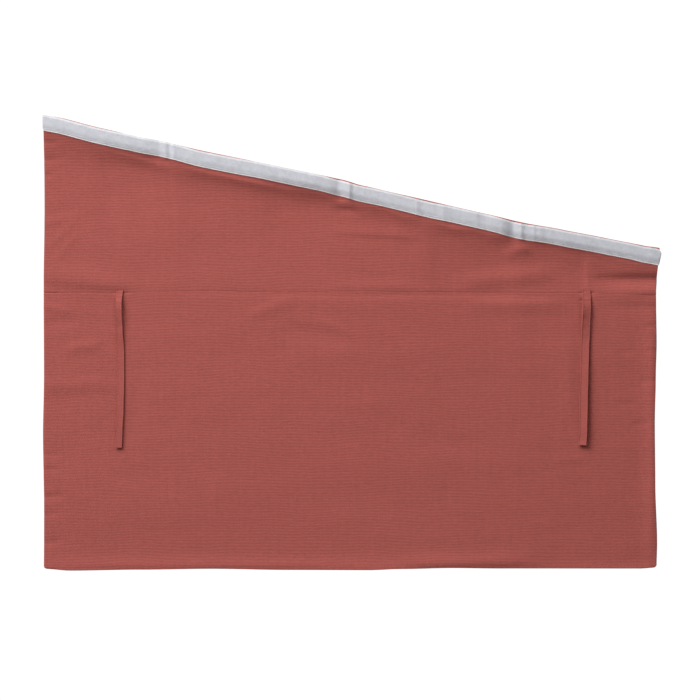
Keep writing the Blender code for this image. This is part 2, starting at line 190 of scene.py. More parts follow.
# How the cloth hangs from the tape. wave: how far the tape stands forwards; fall: how far the
# cloth drops back below it, over reach; roll: a swell under the tape, roll_at below its edge
Hang = namedtuple("Hang", "along wave fall reach roll roll_at")
HANG = table(
    Hang,
    (-0.492, -0.0003, 0.0140, 0.018, 0.0000, 0.008),
    (-0.418, -0.0001, 0.0160, 0.018, 0.0000, 0.008),
    (-0.383, 0.0001, 0.0185, 0.017, 0.0005, 0.008),
    (-0.338, 0.0003, 0.0175, 0.015, 0.0013, 0.010),
    (-0.307, -0.0026, 0.0150, 0.015, 0.0011, 0.011),
    (-0.297, -0.0018, 0.0145, 0.016, 0.0008, 0.011),
    (-0.291, -0.0020, 0.0140, 0.016, 0.0006, 0.011),
    (-0.280, -0.0005, 0.0140, 0.019, 0.0005, 0.009),
    (-0.233, -0.0002, 0.0160, 0.019, 0.0016, 0.008),
    (-0.160, 0.0000, 0.0165, 0.019, 0.0020, 0.008),
    (-0.104, 0.0002, 0.0175, 0.014, 0.0012, 0.008),
    (-0.061, 0.0004, 0.0170, 0.012, 0.0008, 0.003),
    (-0.035, -0.0005, 0.0160, 0.012, 0.0008, 0.003),
    (-0.017, -0.0031, 0.0150, 0.011, 0.0019, 0.010),
    (0.000, -0.0003, 0.0148, 0.012, 0.0012, 0.007),
    (0.007, -0.0013, 0.0146, 0.012, 0.0010, 0.006),
    (0.049, -0.0009, 0.0135, 0.013, 0.0008, 0.001),
    (0.088, -0.0005, 0.0120, 0.014, 0.0011, 0.008),
    (0.107, -0.0005, 0.0115, 0.015, 0.0006, 0.008),
    (0.120, -0.0014, 0.0115, 0.017, 0.0003, 0.008),
    (0.151, -0.0004, 0.0145, 0.019, 0.0012, 0.008),
    (0.165, -0.0009, 0.0150, 0.019, 0.0018, 0.008),
    (0.200, -0.0003, 0.0155, 0.018, 0.0008, 0.004),
    (0.216, -0.0010, 0.0160, 0.017, 0.0009, 0.005),
    (0.244, 0.0009, 0.0155, 0.014, 0.0008, 0.005),
    (0.264, -0.0033, 0.0130, 0.012, 0.0005, 0.007),
    (0.276, -0.0015, 0.0125, 0.012, 0.0002, 0.008),
    (0.284, -0.0019, 0.0125, 0.011, 0.0002, 0.006),
    (0.297, -0.0012, 0.0135, 0.011, 0.0002, 0.003),
    (0.319, -0.0018, 0.0135, 0.011, 0.0001, 0.002),
    (0.368, -0.0012, 0.0130, 0.010, 0.0001, 0.002),
    (0.403, -0.0012, 0.0095, 0.009, 0.0003, 0.003),
    (0.455, -0.0011, 0.0070, 0.008, 0.0009, 0.006),
    (0.492, -0.0007, 0.0070, 0.008, 0.0006, 0.006),
)
WAVE_FADE = 0.020
FALL_START = 0.012
FAR_FALL = 0.0120
FAR_FADE = 0.120
ROLL_ABOVE = 0.0036
ROLL_BELOW = 0.0090

# The sewn tape holds the cloth flat, and the seam half holds it along its own line
TAPE_HOLD = 0.002
TAPE_HOLD_FADE = 0.014
SEAM_HOLD = 0.5
SEAM_HOLD_SPREAD = 0.007
FOLD_TAPER = 0.35

# Soft ridges (rise above 0) and hollows (below 0), each along a straight crest with tapered ends;
# above and below: how far each side of the crest spreads.
# The first table is the hang itself, and the second the finer creases and puckers on it.
Fold = namedtuple("Fold", "name from_x from_z to_x to_z rise above below")
FOLDS = table(
    Fold,
    ("ridge under tape, centre", -0.045, -0.076, 0.133, -0.090, 0.0013, 0.012, 0.006),
    ("hollow under wave, centre", -0.028, -0.040, 0.020, -0.048, -0.0016, 0.005, 0.008),
    ("pucker from tape", 0.245, -0.121, 0.297, -0.098, 0.0016, 0.008, 0.009),
    ("ridge under pucker", 0.162, -0.161, 0.355, -0.145, 0.0024, 0.014, 0.014),
    ("hollow at short side", 0.366, -0.156, 0.612, -0.156, -0.0044, 0.008, 0.013),
    ("ridge at short side", 0.397, -0.179, 0.612, -0.179, 0.0019, 0.010, 0.007),
    ("ridge over left tie", -0.531, -0.145, -0.328, -0.170, 0.0028, 0.022, 0.014),
    ("ridge across left tie", -0.466, -0.269, -0.392, -0.259, 0.0014, 0.008, 0.009),
    ("ridge at left tie's end", -0.547, -0.328, -0.347, -0.328, 0.0012, 0.010, 0.012),
    ("swell over seam", -0.059, -0.170, 0.133, -0.170, 0.0010, 0.010, 0.010),
    ("ridge below seam, left", -0.177, -0.219, -0.080, -0.183, 0.0014, 0.008, 0.014),
    ("ridge below seam, middle", -0.128, -0.191, 0.129, -0.191, 0.0011, 0.007, 0.018),
    ("hollow below seam", -0.131, -0.227, 0.020, -0.257, -0.0015, 0.011, 0.020),
    ("ridge below seam, right", 0.174, -0.196, 0.377, -0.195, 0.0021, 0.009, 0.015),
    ("sag, upper part", 0.030, -0.364, 0.100, -0.406, -0.0009, 0.012, 0.016),
    ("sag, lower part", 0.081, -0.409, 0.242, -0.425, -0.0008, 0.012, 0.018),
    ("bottom hem stands out, left", -0.660, -0.628, 0.339, -0.626, 0.0042, 0.017, 0.012),
    ("bottom hem bows out", 0.049, -0.6145, 0.339, -0.6120, 0.0033, 0.015, 0.0065),
    ("bottom hem stands out, right", 0.242, -0.628, 0.693, -0.626, 0.0025, 0.012, 0.012),
    ("side hem stands out", 0.487, -0.077, 0.487, -0.737, 0.0024, 0.013, 0.013),
)
CREASES = table(
    Fold,
    ("hollow below seam, short side", 0.400, -0.201, 0.564, -0.199, -0.0012, 0.006, 0.012),
    ("left, below seam", -0.515, -0.195, -0.441, -0.209, 0.0010, 0.006, 0.006),
    ("left, hollow below seam", -0.505, -0.228, -0.428, -0.222, -0.0011, 0.009, 0.009),
    ("left, over tie's end", -0.450, -0.322, -0.389, -0.319, 0.0006, 0.007, 0.006),
    ("hollow right of left tie", -0.344, -0.306, -0.342, -0.399, -0.0008, 0.008, 0.009),
    ("slanted crease, left 1", -0.531, -0.072, -0.418, -0.050, 0.0007, 0.007, 0.007),
    ("slanted crease, left 2", -0.431, -0.051, -0.495, -0.113, 0.0007, 0.006, 0.006),
    ("slanted crease, left 3", -0.424, -0.067, -0.482, -0.132, 0.0007, 0.006, 0.006),
    ("small ridge below seam", -0.051, -0.216, 0.017, -0.257, 0.0008, 0.006, 0.007),
    ("ridge left of right tie", 0.358, -0.206, 0.358, -0.415, 0.0009, 0.006, 0.016),
    ("crease left of right tie", 0.327, -0.391, 0.327, -0.460, -0.0005, 0.005, 0.004),
    ("crease under right tie", 0.326, -0.446, 0.390, -0.446, 0.0006, 0.005, 0.006),
    ("upright crease over right tie 1", 0.3845, -0.192, 0.3845, -0.105, 0.0008, 0.005, 0.005),
    ("upright crease over right tie 2", 0.392, -0.196, 0.392, -0.080, 0.0003, 0.005, 0.005),
    ("upright crease under tape", 0.131, -0.040, 0.131, -0.184, 0.0003, 0.004, 0.004),
    ("upright crease, lower left", -0.221, -0.470, -0.221, -0.530, 0.0003, 0.004, 0.004),
    ("short dash, low", 0.039, -0.544, 0.084, -0.542, 0.0003, 0.004, 0.004),
    ("left edge pucker 1", -0.515, -0.439, -0.463, -0.439, -0.0008, 0.004, 0.004),
    ("left edge pucker 2", -0.515, -0.464, -0.460, -0.462, -0.0009, 0.004, 0.004),
    ("left edge pucker 3", -0.521, -0.510, -0.453, -0.504, -0.0013, 0.005, 0.005),
    ("left edge pucker 4", -0.515, -0.536, -0.463, -0.534, -0.0008, 0.004, 0.004),
    ("left edge pucker 5", -0.515, -0.586, -0.457, -0.576, -0.0010, 0.005, 0.005),
    ("top left pucker 1", -0.518, 0.063, -0.463, 0.066, -0.0009, 0.004, 0.004),
    ("top left pucker 2", -0.518, 0.034, -0.457, 0.039, -0.0010, 0.005, 0.005),
    ("top left pucker 3", -0.518, 0.010, -0.473, 0.013, -0.0008, 0.004, 0.004),
    ("right edge pucker 1", 0.470, -0.232, 0.515, -0.230, -0.0009, 0.005, 0.005),
    ("right edge pucker 2", 0.468, -0.272, 0.515, -0.270, -0.0008, 0.004, 0.005),
    ("right edge pucker 3", 0.430, -0.275, 0.462, -0.273, -0.0007, 0.004, 0.004),
    ("right edge pucker 4", 0.462, -0.319, 0.515, -0.319, -0.0009, 0.005, 0.005),
    ("right edge pucker 5", 0.424, -0.357, 0.466, -0.357, -0.0007, 0.004, 0.004),
    ("right edge pucker 6", 0.450, -0.391, 0.490, -0.388, -0.0008, 0.005, 0.005),
    ("pinch left of right tie", 0.3670, -0.178, 0.3790, -0.178, -0.0016, 0.0025, 0.0022),
    ("second pinch left of right tie", 0.3715, -0.189, 0.3785, -0.189, -0.0010, 0.0020, 0.0020),
    ("groove left of right tie", 0.3750, -0.180, 0.3735, -0.250, -0.0007, 0.0020, 0.0030),
    ("pinch right of right tie", 0.3860, -0.178, 0.3970, -0.178, -0.0018, 0.0025, 0.0022),
    ("pinch left of left tie", -0.3850, -0.178, -0.3740, -0.178, -0.0008, 0.0025, 0.0025),
    ("pinch right of left tie", -0.3680, -0.178, -0.3550, -0.178, -0.0014, 0.0025, 0.0022),
    ("seam sinks, left", -0.330, -0.1775, 0.040, -0.1775, -0.0006, 0.0040, 0.0050),
    ("seam sinks, right", 0.000, -0.1785, 0.300, -0.1785, -0.0014, 0.0050, 0.0060),
    ("lower edge leans back", -0.640, -0.636, 0.160, -0.636, -0.0036, 0.080, 0.030),
    ("bottom fold turns under", -0.540, -0.6240, 0.060, -0.6240, -0.0022, 0.0050, 0.0060),
    ("side hem's edge", 0.4890, -0.190, 0.4890, -0.640, 0.0010, 0.0080, 0.0060),
)

# Long, faint waves that no crease makes: size across, size up and height of each
Wave = namedtuple("Wave", "across up height")
WAVES = table(
    Wave,
    (0.160, 0.060, 0.0010),
    (0.060, 0.022, 0.00030),
)
WAVE_SLICE = 7.3

# How cloth is turned at an edge. depth is that of the whole turned edge, roll is the radius of
# the second turn, tuck what it hides, and bulk and bulk_roll serve where a side hem crosses it.
# squeeze is how flat the side hem is pressed there. band is finely divided, at pitch.
Hem = namedtuple("Hem", "width depth roll tuck bulk bulk_roll squeeze band pitch")
SIDE_HEM = Hem(0.022, 0.0017, 0.00055, 0.008, 0.0017, 0.00055, 1.0, 0.024, 0.0030)
BOTTOM_HEM = Hem(0.020, 0.0017, 0.00055, 0.008, 0.0044, 0.00145, 0.82, 0.024, 0.0026)
SEAM_TURN = Hem(0.010, 0.0012, 0.0, 0.0, 0.0029, 0.0, 0.82, 0.014, 0.0013)
HEADING = Hem(0.030, 0.0017, 0.00055, 0.008, 0.0044, 0.00145, 0.82, 0.036, 0.0024)
BULK_FADE = 0.006
SQUEEZE_FADE = 0.012
SEAM_BITE = 0.00005
WEAR_REACH = 0.0012

# Grid steps of a turned edge
TURN_STEPS = 6
FLAP_STEPS = 4
UNDER_STEPS = 5
TUCK_STEPS = 2

# A tie's centre line; sideways is from its first row, stand_off is clear of the cloth behind it,
# breadth is its share of the full width and turn is in radians, its right edge coming forward
TieRow = namedtuple("TieRow", "drop sideways stand_off breadth turn")
Tie = namedtuple("Tie", "name node x width length hollow rows")
TIES = (
    Tie("tie_left_strip", "tie_left", -0.3706, 0.0118, 0.2550, 0.00035, table(
        TieRow,
        (0.000, 0.0000, 0.0001, 1.00, 0.00),
        (0.006, -0.0010, 0.0007, 0.95, 0.02),
        (0.012, -0.0016, 0.0024, 0.88, 0.05),
        (0.020, -0.0018, 0.0054, 0.82, 0.03),
        (0.030, -0.0017, 0.0066, 0.78, 0.00),
        (0.042, -0.0014, 0.0058, 0.77, 0.00),
        (0.065, -0.0001, 0.0034, 0.78, 0.04),
        (0.100, 0.0009, 0.0013, 1.02, 0.00),
        (0.145, 0.0013, 0.0009, 0.99, 0.04),
        (0.195, 0.0006, 0.0022, 0.92, 0.00),
        (0.225, -0.0007, 0.0025, 0.86, 0.02),
        (0.255, -0.0020, 0.0026, 0.90, 0.00),
    )),
    Tie("tie_right_strip", "tie_right", 0.3820, 0.0132, 0.2500, 0.00080, table(
        TieRow,
        (0.000, 0.0000, 0.0001, 1.00, 0.00),
        (0.008, 0.0003, 0.0009, 1.00, -0.02),
        (0.016, 0.0004, 0.0026, 1.00, -0.12),
        (0.026, 0.0003, 0.0045, 1.00, -0.20),
        (0.036, -0.0001, 0.0050, 1.00, -0.24),
        (0.050, -0.0008, 0.0043, 1.00, -0.14),
        (0.065, -0.0014, 0.0038, 1.02, -0.05),
        (0.100, -0.0027, 0.0027, 1.02, 0.11),
        (0.140, -0.0037, 0.0035, 1.02, 0.13),
        (0.178, -0.0047, 0.0042, 1.02, 0.13),
        (0.225, -0.0053, 0.0046, 0.98, 0.20),
        (0.250, -0.0067, 0.0022, 1.06, 0.32),
    )),
)
# A tie's section and end, and the lines across it that its sewing presses in
TIE_ABOVE_SEAM = 0.0045
TIE_DEPTH = 0.0017
TIE_ROLL = 0.00041
TIE_TUCK = 0.0042
TIE_RIM = 0.11
TIE_END_RIM = 0.0035
TIE_END_ROUND = 0.0009
TIE_SEWN_LINES = (0.0014, 0.0046, 0.0156)
TIE_PRESS = 0.00030
TIE_PRESS_SPREAD = 0.0011
TIE_CUT_WIDTHS = 3
TIE_CANVAS = 0.00040
TIE_RIBS = 0.4
TIE_ROW_PITCH = 0.0030
TIE_BAND = 0.013
TIE_BAND_PITCH = 0.0015
TIE_CLOSED = 0.06  # how open the section stays where its end closes, as a share
TIE_END_FLAT = 0.0008
TIE_PRESS_IN = 0.03  # how much narrower a pressed line is, as a share
# Reach and pitch of the finer grid lines at each sewn line and at the top
TIE_SEWN_REACH = (0.003, 0.0006)
TIE_TOP_REACH = (0.002, 0.0005)

# Sewing: how far rows keep from an edge or the seam, and how uneven the stitches are
HEM_MARGIN = 0.002
SEAM_MARGIN = 0.003
HEM_ROW_START = 0.004
TAPE_ROW_MARGIN = 0.001
TAPE_ROW_PAST = 0.006
TAPE_ROW_INSET = 0.6  # how far across a selvedge its row runs, as a share
THREAD_SUNK = 0.25  # how deep the thread lies in the cloth, as a share
STITCH_LEAN = 0.06
STITCH_STRETCH = (0.94, 1.04)

# The stage: what the camera looks at, where the lights stand from there, and the floor
VIEW_MIDDLE = Vector((0.0006, 0.0, -0.270))
KEY_FROM = Vector((-1.0, -1.0, 1.2)).normalized() * 5
TOP_FROM = Vector((0.3, -1.1, 1.5))
KEY_SIZE = 3.6
TOP_SIZE = 1.5
SENSOR_WIDTH = 36
FLOOR_SIZE = (3.2, 2.0, 1)
FLOOR_BACK = 0.1
SEEN_WHITE = 1.02

NODE_SLACK = 0.004

UV_NAME = "cloth"
WEAR_NAME = "fold_wear"


# Settings that a user may change


def length_setting(label, description, default):
    return FloatProperty(name=label, description=description, subtype="DISTANCE", default=default)


def power_setting(label, description, default):
    return FloatProperty(name=label, description=description, unit="POWER", default=default)


def colour_setting(label, description, default):
    return FloatVectorProperty(
        name=label, description=description, subtype="COLOR", size=3, default=default
    )


class ClothSettings(PropertyGroup):
    colour: colour_setting("Canvas colour", "Mean colour of the dyed canvas", (0.392, 0.095, 0.080))
    thickness: length_setting("Canvas thickness", "Thickness of one layer of canvas", 0.00045)
    column_pitch: length_setting("Column pitch", "Distance across between a panel's points", 0.0055)
    row_pitch: length_setting("Row pitch", "Distance up between a panel's points", 0.0030)
    warp_pitch: length_setting("Warp pitch", "Distance between the upright yarns", 0.00072)
    weft_pitch: length_setting("Weft pitch", "Distance between the level yarns", 0.00080)
    rib_pitch: length_setting("Rib pitch", "Distance between the ribs of thicker yarn", 0.0047)
    rib_length: length_setting("Rib length", "How far one rib runs before it fades", 0.0100)


class TapeSettings(PropertyGroup):
    colour: colour_setting("Tape colour", "Colour of the tape's nap", (0.580, 0.586, 0.630))
    selvedge_colour: colour_setting(
        "Selvedge colour", "Colour of the tape's smooth edges", (0.700, 0.690, 0.700)
    )
    selvedge: length_setting("Selvedge", "Width of each smooth edge", 0.0017)
    nap: length_setting("Nap height", "How far the nap stands above the selvedges", 0.0011)
    pitch: length_setting("Point pitch", "Distance between the points of the nap", 0.00120)


class SewingSettings(PropertyGroup):
    pitch: length_setting("Stitch pitch", "Distance from one stitch to the next", 0.0030)
    length: length_setting("Stitch length", "Visible length of one stitch", 0.0026)
    thread: length_setting("Thread thickness", "Diameter of the sewing thread", 0.00036)
    red: colour_setting("Red thread", "Thread of the hems", (0.330, 0.090, 0.075))
    white: colour_setting("Pale thread", "Thread that holds the tape", (0.640, 0.630, 0.640))


class StageSettings(PropertyGroup):
    focal_length: FloatProperty(
        name="Focal length", description="Lens of the camera", unit="CAMERA", default=200.0
    )
    view_width: length_setting("View width", "Width seen in the curtain's plane", 1.127)
    key_power: power_setting("Key power", "Power of the key light", 314.0)
    top_power: power_setting("Top power", "Power of the soft light above", 10.8)
    fill: FloatProperty(
        name="Fill", description="Light that the white surroundings give", default=0.06
    )
    floor_drop: length_setting("Floor drop", "How far the floor lies below the curtain", 0.55)


class CurtainSettings(PropertyGroup):
    cloth: PointerProperty(type=ClothSettings)
    tape: PointerProperty(type=TapeSettings)
    sewing: PointerProperty(type=SewingSettings)
    stage: PointerProperty(type=StageSettings)


# Numbers and tables


def mix(start, end, share):
    return start + (end - start) * share


def smooth(share):
    """0 to 1 with level ends."""
    share = np.clip(share, 0.0, 1.0)
    return share * share * (3 - 2 * share)


def bell(away, spread):
    """1 at a crest, fading to 0 within a few spreads of it."""
    return np.exp(-((away / spread) ** 2))


def along_table(rows, at, column):
    """The named column of a table at places between its rows, which the first column gives."""
    keys = np.array([row[0] for row in rows])
    values = np.array([getattr(row, column) for row in rows])
    at = np.clip(at, keys[0], keys[-1])
    after = np.clip(np.searchsorted(keys, at), 1, len(keys) - 1)
    share = smooth((at - keys[after - 1]) / (keys[after] - keys[after - 1]))
    return mix(values[after - 1], values[after], share)


def graded_lines(start, end, pitch, spots=()):
    """Places from start to end about a pitch apart, and closer in each spot (centre, reach, pitch)."""
    at = np.linspace(start, end, 4001)
    density = np.full(len(at), 1 / pitch)
    for centre, reach, fine in spots:
        density = np.maximum(density, np.where(abs(at - centre) < reach, 1 / fine, 0))
    steps = (density[1:] + density[:-1]) / 2 * np.diff(at)
    total = np.concatenate([[0], np.cumsum(steps)])
    return np.interp(np.linspace(0, total[-1], math.ceil(total[-1]) + 1), total, at)


# The curtain's outline and its relief


def top_z(x):
    return SLOPE * x + along_table(TOP_EDGE, x, "out")


def bottom_z(x):
    return BOTTOM_Z + along_table(BOTTOM_EDGE, x, "out")


def seam_z(x):
    return SEAM_Z + along_table(SEAM_LINE, x, "out")


def seam_fold(past):
    """The fold of a panel at the seam, which lies a little past the seam's line."""
    return lambda x: seam_z(x) + past


def side_x(share, z):
    """X at a share of the width, from the left edge's stray to the right edge's."""
    height = z - BOTTOM_Z
    left = -HALF_WIDTH - along_table(LEFT_EDGE, height, "out")
    right = HALF_WIDTH + along_table(RIGHT_EDGE, height, "out")
    return mix(left, right, share)


def below_tape(x, z):
    return top_z(x) - TAPE_BELOW_EDGE - TAPE_DROP - z


def hang_rise(x, z):
    """The tape's waves, and the cloth's fall back behind it, which starts inside the tape."""
    wave, fall, reach, roll, roll_at = (along_table(HANG, x, name) for name in Hang._fields[1:])
    below = below_tape(x, z)
    turns = np.maximum(below + FALL_START, 0) / reach
    fallen = 1 - (1 + turns) * np.exp(-turns)
    full_fall = mix(FAR_FALL, fall, np.exp(-np.maximum(below, 0) / FAR_FADE))
    spread = np.where(below < roll_at, ROLL_ABOVE, ROLL_BELOW)
    swell = roll * smooth(below / ROLL_ABOVE) * bell(below - roll_at, spread)
    return wave * (1 - smooth(below / WAVE_FADE)) - fallen * full_fall + swell


def fold_rise(fold, x, z):
    """A bell across the crest, tapered towards both of its ends."""
    run_x, run_z = fold.to_x - fold.from_x, fold.to_z - fold.from_z
    length = math.hypot(run_x, run_z)
    share = ((x - fold.from_x) * run_x + (z - fold.from_z) * run_z) / length**2
    away = ((z - fold.from_z) * run_x - (x - fold.from_x) * run_z) / length
    taper = smooth(share / FOLD_TAPER) * smooth((1 - share) / FOLD_TAPER)
    return fold.rise * taper * bell(away, np.where(away > 0, fold.above, fold.below))


def wave_rise(x, z):
    """The faint waves, the same for every layer of cloth at a place."""
    total = np.zeros(x.size)
    for wave in WAVES:
        places = zip(x.ravel() / wave.across, z.ravel() / wave.up)
        heights = [noise.noise(Vector((across, WAVE_SLICE, up))) for across, up in places]
        total += wave.height * np.array(heights)
    return total.reshape(x.shape)


def relief(x, z):
    """How far the hanging cloth stands in front of its flat plane. No fold reaches the tape."""
    free_of_tape = smooth((below_tape(x, z) - TAPE_HOLD) / TAPE_HOLD_FADE)
    free_of_seam = 1 - SEAM_HOLD * bell(z - seam_z(x), SEAM_HOLD_SPREAD)
    folds = sum(fold_rise(fold, x, z) for fold in FOLDS + CREASES)
    return hang_rise(x, z) + free_of_tape * free_of_seam * (folds + wave_rise(x, z))


# Turned edges


def edge_lines(hem):
    """(section, share) of the grid lines of a turned edge, from the face outwards."""
    sections = [("turn", TURN_STEPS), ("flap", FLAP_STEPS)]
    if hem.tuck:
        sections += [("under", UNDER_STEPS), ("tuck", TUCK_STEPS)]
    return [(section, step / steps) for section, steps in sections for step in range(1, steps + 1)]


def turned(hem, section, share, stack, bulk):
    """(distance in from the edge, depth behind the face) of a line of a turned edge.

    stack is how deep a layer lies before the turn, and bulk is 1 where a side hem crosses.
    """
    depth = mix(hem.depth, hem.bulk, bulk)
    roll = mix(hem.roll, hem.bulk_roll, bulk)
    outer = depth / 2
    angle = math.pi * share
    if section == "turn":
        reach = outer - stack
        return outer - reach * math.sin(angle), outer - reach * math.cos(angle)
    if section == "flap":
        return mix(outer, hem.width - roll, share), depth - stack
    if section == "under":
        reach = roll - stack
        return hem.width - roll + reach * math.sin(angle), depth - roll + reach * math.cos(angle)
    return hem.width - roll - hem.tuck * share, depth - 2 * roll + stack


def panel_columns(pitch):
    """(place across, depth of the layer) of every column, from one tucked edge to the other."""
    inward, depth = np.array([turned(SIDE_HEM, *line, 0, 0) for line in edge_lines(SIDE_HEM)]).T
    near = SIDE_HEM.depth / 2
    spots = [(tie.x, TIE_BAND, TIE_BAND_PITCH) for tie in TIES]
    spots += [(side * HALF_WIDTH, SIDE_HEM.band, SIDE_HEM.pitch) for side in (-1, 1)]
    body = graded_lines(-HALF_WIDTH + near, HALF_WIDTH - near, pitch, spots)
    across = np.concatenate([-HALF_WIDTH + inward[::-1], body, HALF_WIDTH - inward])
    stack = np.concatenate([depth[::-1], np.zeros(len(body)), depth])
    return across, stack


# A corner to round: its place, the side (-1 or 1) that it is on across and up, and its radius
Corner = namedtuple("Corner", "x y side upward radius")


def rounded(x, y, corners):
    """Draws the corners of a sheet in from a square to a quarter circle."""
    for corner in corners:
        a = np.clip(corner.side * (x - corner.x) / corner.radius + 1, 0, 1)
        b = np.clip(corner.upward * (y - corner.y) / corner.radius + 1, 0, 1)
        inside = (a > 0) & (b > 0)
        new_x = corner.x + corner.side * corner.radius * (a * np.sqrt(1 - b * b / 2) - 1)
        new_y = corner.y + corner.upward * corner.radius * (b * np.sqrt(1 - a * a / 2) - 1)
        x, y = np.where(inside, new_x, x), np.where(inside, new_y, y)
    return x, y


def panel_points(cloth, low, high, low_z, high_z, corners=()):
    """Arrays of x, y, z, u, v and fold wear for a panel, with one row for each grid line up.

    low and high are the hems of the lower and upper edge, and low_z and high_z give those edges.
    """
    across, stack = panel_columns(cloth.column_pitch)
    bottom, top = low_z(across), high_z(across)
    bulk = smooth((SIDE_HEM.width + BULK_FADE - (HALF_WIDTH - abs(across))) / BULK_FADE)
    near_low = mix(low.depth, low.bulk, bulk) / 2
    near_high = mix(high.depth, high.bulk, bulk) / 2
    heights = []
    for share in graded_lines(0, 1, low.pitch / low.band):
        heights.append(bottom + mix(near_low, low.band, share))
    tallest = float((top - bottom).max()) - low.band - high.band
    for share in graded_lines(0, 1, cloth.row_pitch / tallest)[1:-1]:
        heights.append(mix(bottom + low.band, top - high.band, share))
    for share in graded_lines(0, 1, high.pitch / high.band)[::-1]:
        heights.append(top - mix(near_high, high.band, share))

    rows = []
    for line in reversed(edge_lines(low)):
        inward, depth = turned(low, *line, stack * low.squeeze, bulk)
        rows.append((bottom + inward, depth))
    for height in heights:
        freed_low = smooth((height - bottom - near_low) / SQUEEZE_FADE)
        freed_high = smooth((top - near_high - height) / SQUEEZE_FADE)
        squeeze = mix(low.squeeze, 1, freed_low) * mix(high.squeeze, 1, freed_high)
        rows.append((height, stack * squeeze))
    for line in edge_lines(high):
        inward, depth = turned(high, *line, stack * high.squeeze, bulk)
        rows.append((top - inward, depth))
    z, depth = (np.array(values) for values in zip(*rows))
    across, stack = np.broadcast_to(across, z.shape), np.broadcast_to(stack, z.shape)

    u = along_cloth(across, stack, axis=1)
    v = along_cloth(z, depth, axis=0)
    wear = fold_wear(across, z - bottom, top - z)
    across, up = rounded(across, z - bottom, corners)
    z = bottom + up
    return *on_cloth(across, z, depth), u, v, wear


def on_cloth(across, z, depth):
    """Arrays of x, y and z of places on the nominal panel, at a depth behind its face."""
    x = side_x((across + HALF_WIDTH) / WIDTH, z)
    return x, CLOTH_FRONT + depth - relief(x, z), z


def along_cloth(places, depth, axis):
    """Distances along the cloth itself, equal to the places on the panel's flat face."""
    steps = np.hypot(np.diff(places, axis=axis), np.diff(depth, axis=axis))
    start = np.zeros_like(np.take(places, [0], axis=axis))
    total = np.concatenate([start, np.cumsum(steps, axis=axis)], axis=axis)
    middle = [places.shape[axis] // 2]
    return total - np.take(total, middle, axis=axis) + np.take(places, middle, axis=axis)


def fold_wear(across, from_low, from_high):
    """1 on the crest of a folded edge, fading to 0 within a few reaches of it."""
    nearest = np.minimum(HALF_WIDTH - abs(across), np.minimum(from_low, from_high))
    return bell(nearest, WEAR_REACH)


# Meshes


def nothing_selected():
    for each in bpy.context.selected_objects:
        each.select_set(False)


def make_active(piece):
    nothing_selected()
    piece.select_set(True)
    bpy.context.view_layer.objects.active = piece


def grid_sheet(name, x, y, z, u, v, wear=None):
    """An open sheet from a grid primitive whose points are laid where the arrays say."""
    rows, columns = x.shape
    nothing_selected()
    bpy.ops.mesh.primitive_grid_add(x_subdivisions=columns - 1, y_subdivisions=rows - 1, size=1)
    piece = bpy.context.object
    piece.name = name
    mesh = piece.data
    flat = np.empty(len(mesh.vertices) * 3)
    mesh.vertices.foreach_get("co", flat)
    flat = flat.reshape(-1, 3)
    column = np.rint((flat[:, 0] + 0.5) * (columns - 1)).astype(int)
    row = np.rint((flat[:, 1] + 0.5) * (rows - 1)).astype(int)
    places = np.stack([values[row, column] for values in (x, y, z)], axis=1)
    mesh.vertices.foreach_set("co", places.ravel())
    corner = np.empty(len(mesh.loops), int)
    mesh.loops.foreach_get("vertex_index", corner)
    uv = np.stack([values[row, column][corner] for values in (u, v)], axis=1)
    mesh.uv_layers[0].name = UV_NAME
    mesh.uv_layers[0].data.foreach_set("uv", uv.ravel())
    if wear is not None:
        attribute = mesh.attributes.new(WEAR_NAME, "FLOAT", "POINT")
        attribute.data.foreach_set("value", wear[row, column])
    mesh.update()
    return piece


def apply_modifier(piece, name, kind, **values):
    make_active(piece)
    modifier = piece.modifiers.new(name, kind)
    for key, value in values.items():
        setattr(modifier, key, value)
    bpy.ops.object.modifier_apply(modifier=name)


def finish_piece(piece, material, node=None, smooth_angle=50):
    """Shades, paints and hangs a finished piece on the frame."""
    make_active(piece)
    bpy.ops.object.shade_smooth_by_angle(angle=math.radians(smooth_angle))
    piece.data.materials.clear()
    piece.data.materials.append(material)
    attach(piece, "root")
    if node:
        check_on_node(piece, node)
        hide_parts(node)


def check_on_node(piece, node):
    """Stops if a piece strays from the box of the node that it stands for."""
    bpy.context.view_layer.update()
    corners = np.array([corner[:] for corner in piece.bound_box])
    lowest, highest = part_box(node)
    if (corners < np.array(lowest) - NODE_SLACK).any() or (corners > np.array(highest) + NODE_SLACK).any():
        raise RuntimeError(f"{piece.name} reaches out of the box of {node}")


# Sewing


def stitch_shape(length, thread):
    """The points and faces of one stitch along X, from a small sphere primitive."""
    nothing_selected()
    bpy.ops.mesh.primitive_uv_sphere_add(segments=6, ring_count=5, radius=1)
    ball = bpy.context.object
    points = np.array([vertex.co.zyx for vertex in ball.data.vertices])
    faces = [tuple(face.vertices) for face in ball.data.polygons]
    bpy.data.objects.remove(ball)
    return points * (length / 2, thread / 2, thread / 2), faces


def stitch_places(path, pitch):
    """Middles and directions of the stitches of one row along a path."""
    lengths = np.linalg.norm(np.diff(path, axis=0), axis=1)
    total = np.concatenate([[0], np.cumsum(lengths)])
    count = max(1, int(total[-1] / pitch))
    marks = (np.arange(count) + 0.5) * total[-1] / count

    def at(distances):
        return np.stack([np.interp(distances, total, path[:, axis]) for axis in range(3)], axis=1)

    ahead = at(marks + pitch / 4) - at(marks - pitch / 4)
    return at(marks), ahead / np.linalg.norm(ahead, axis=1, keepdims=True)


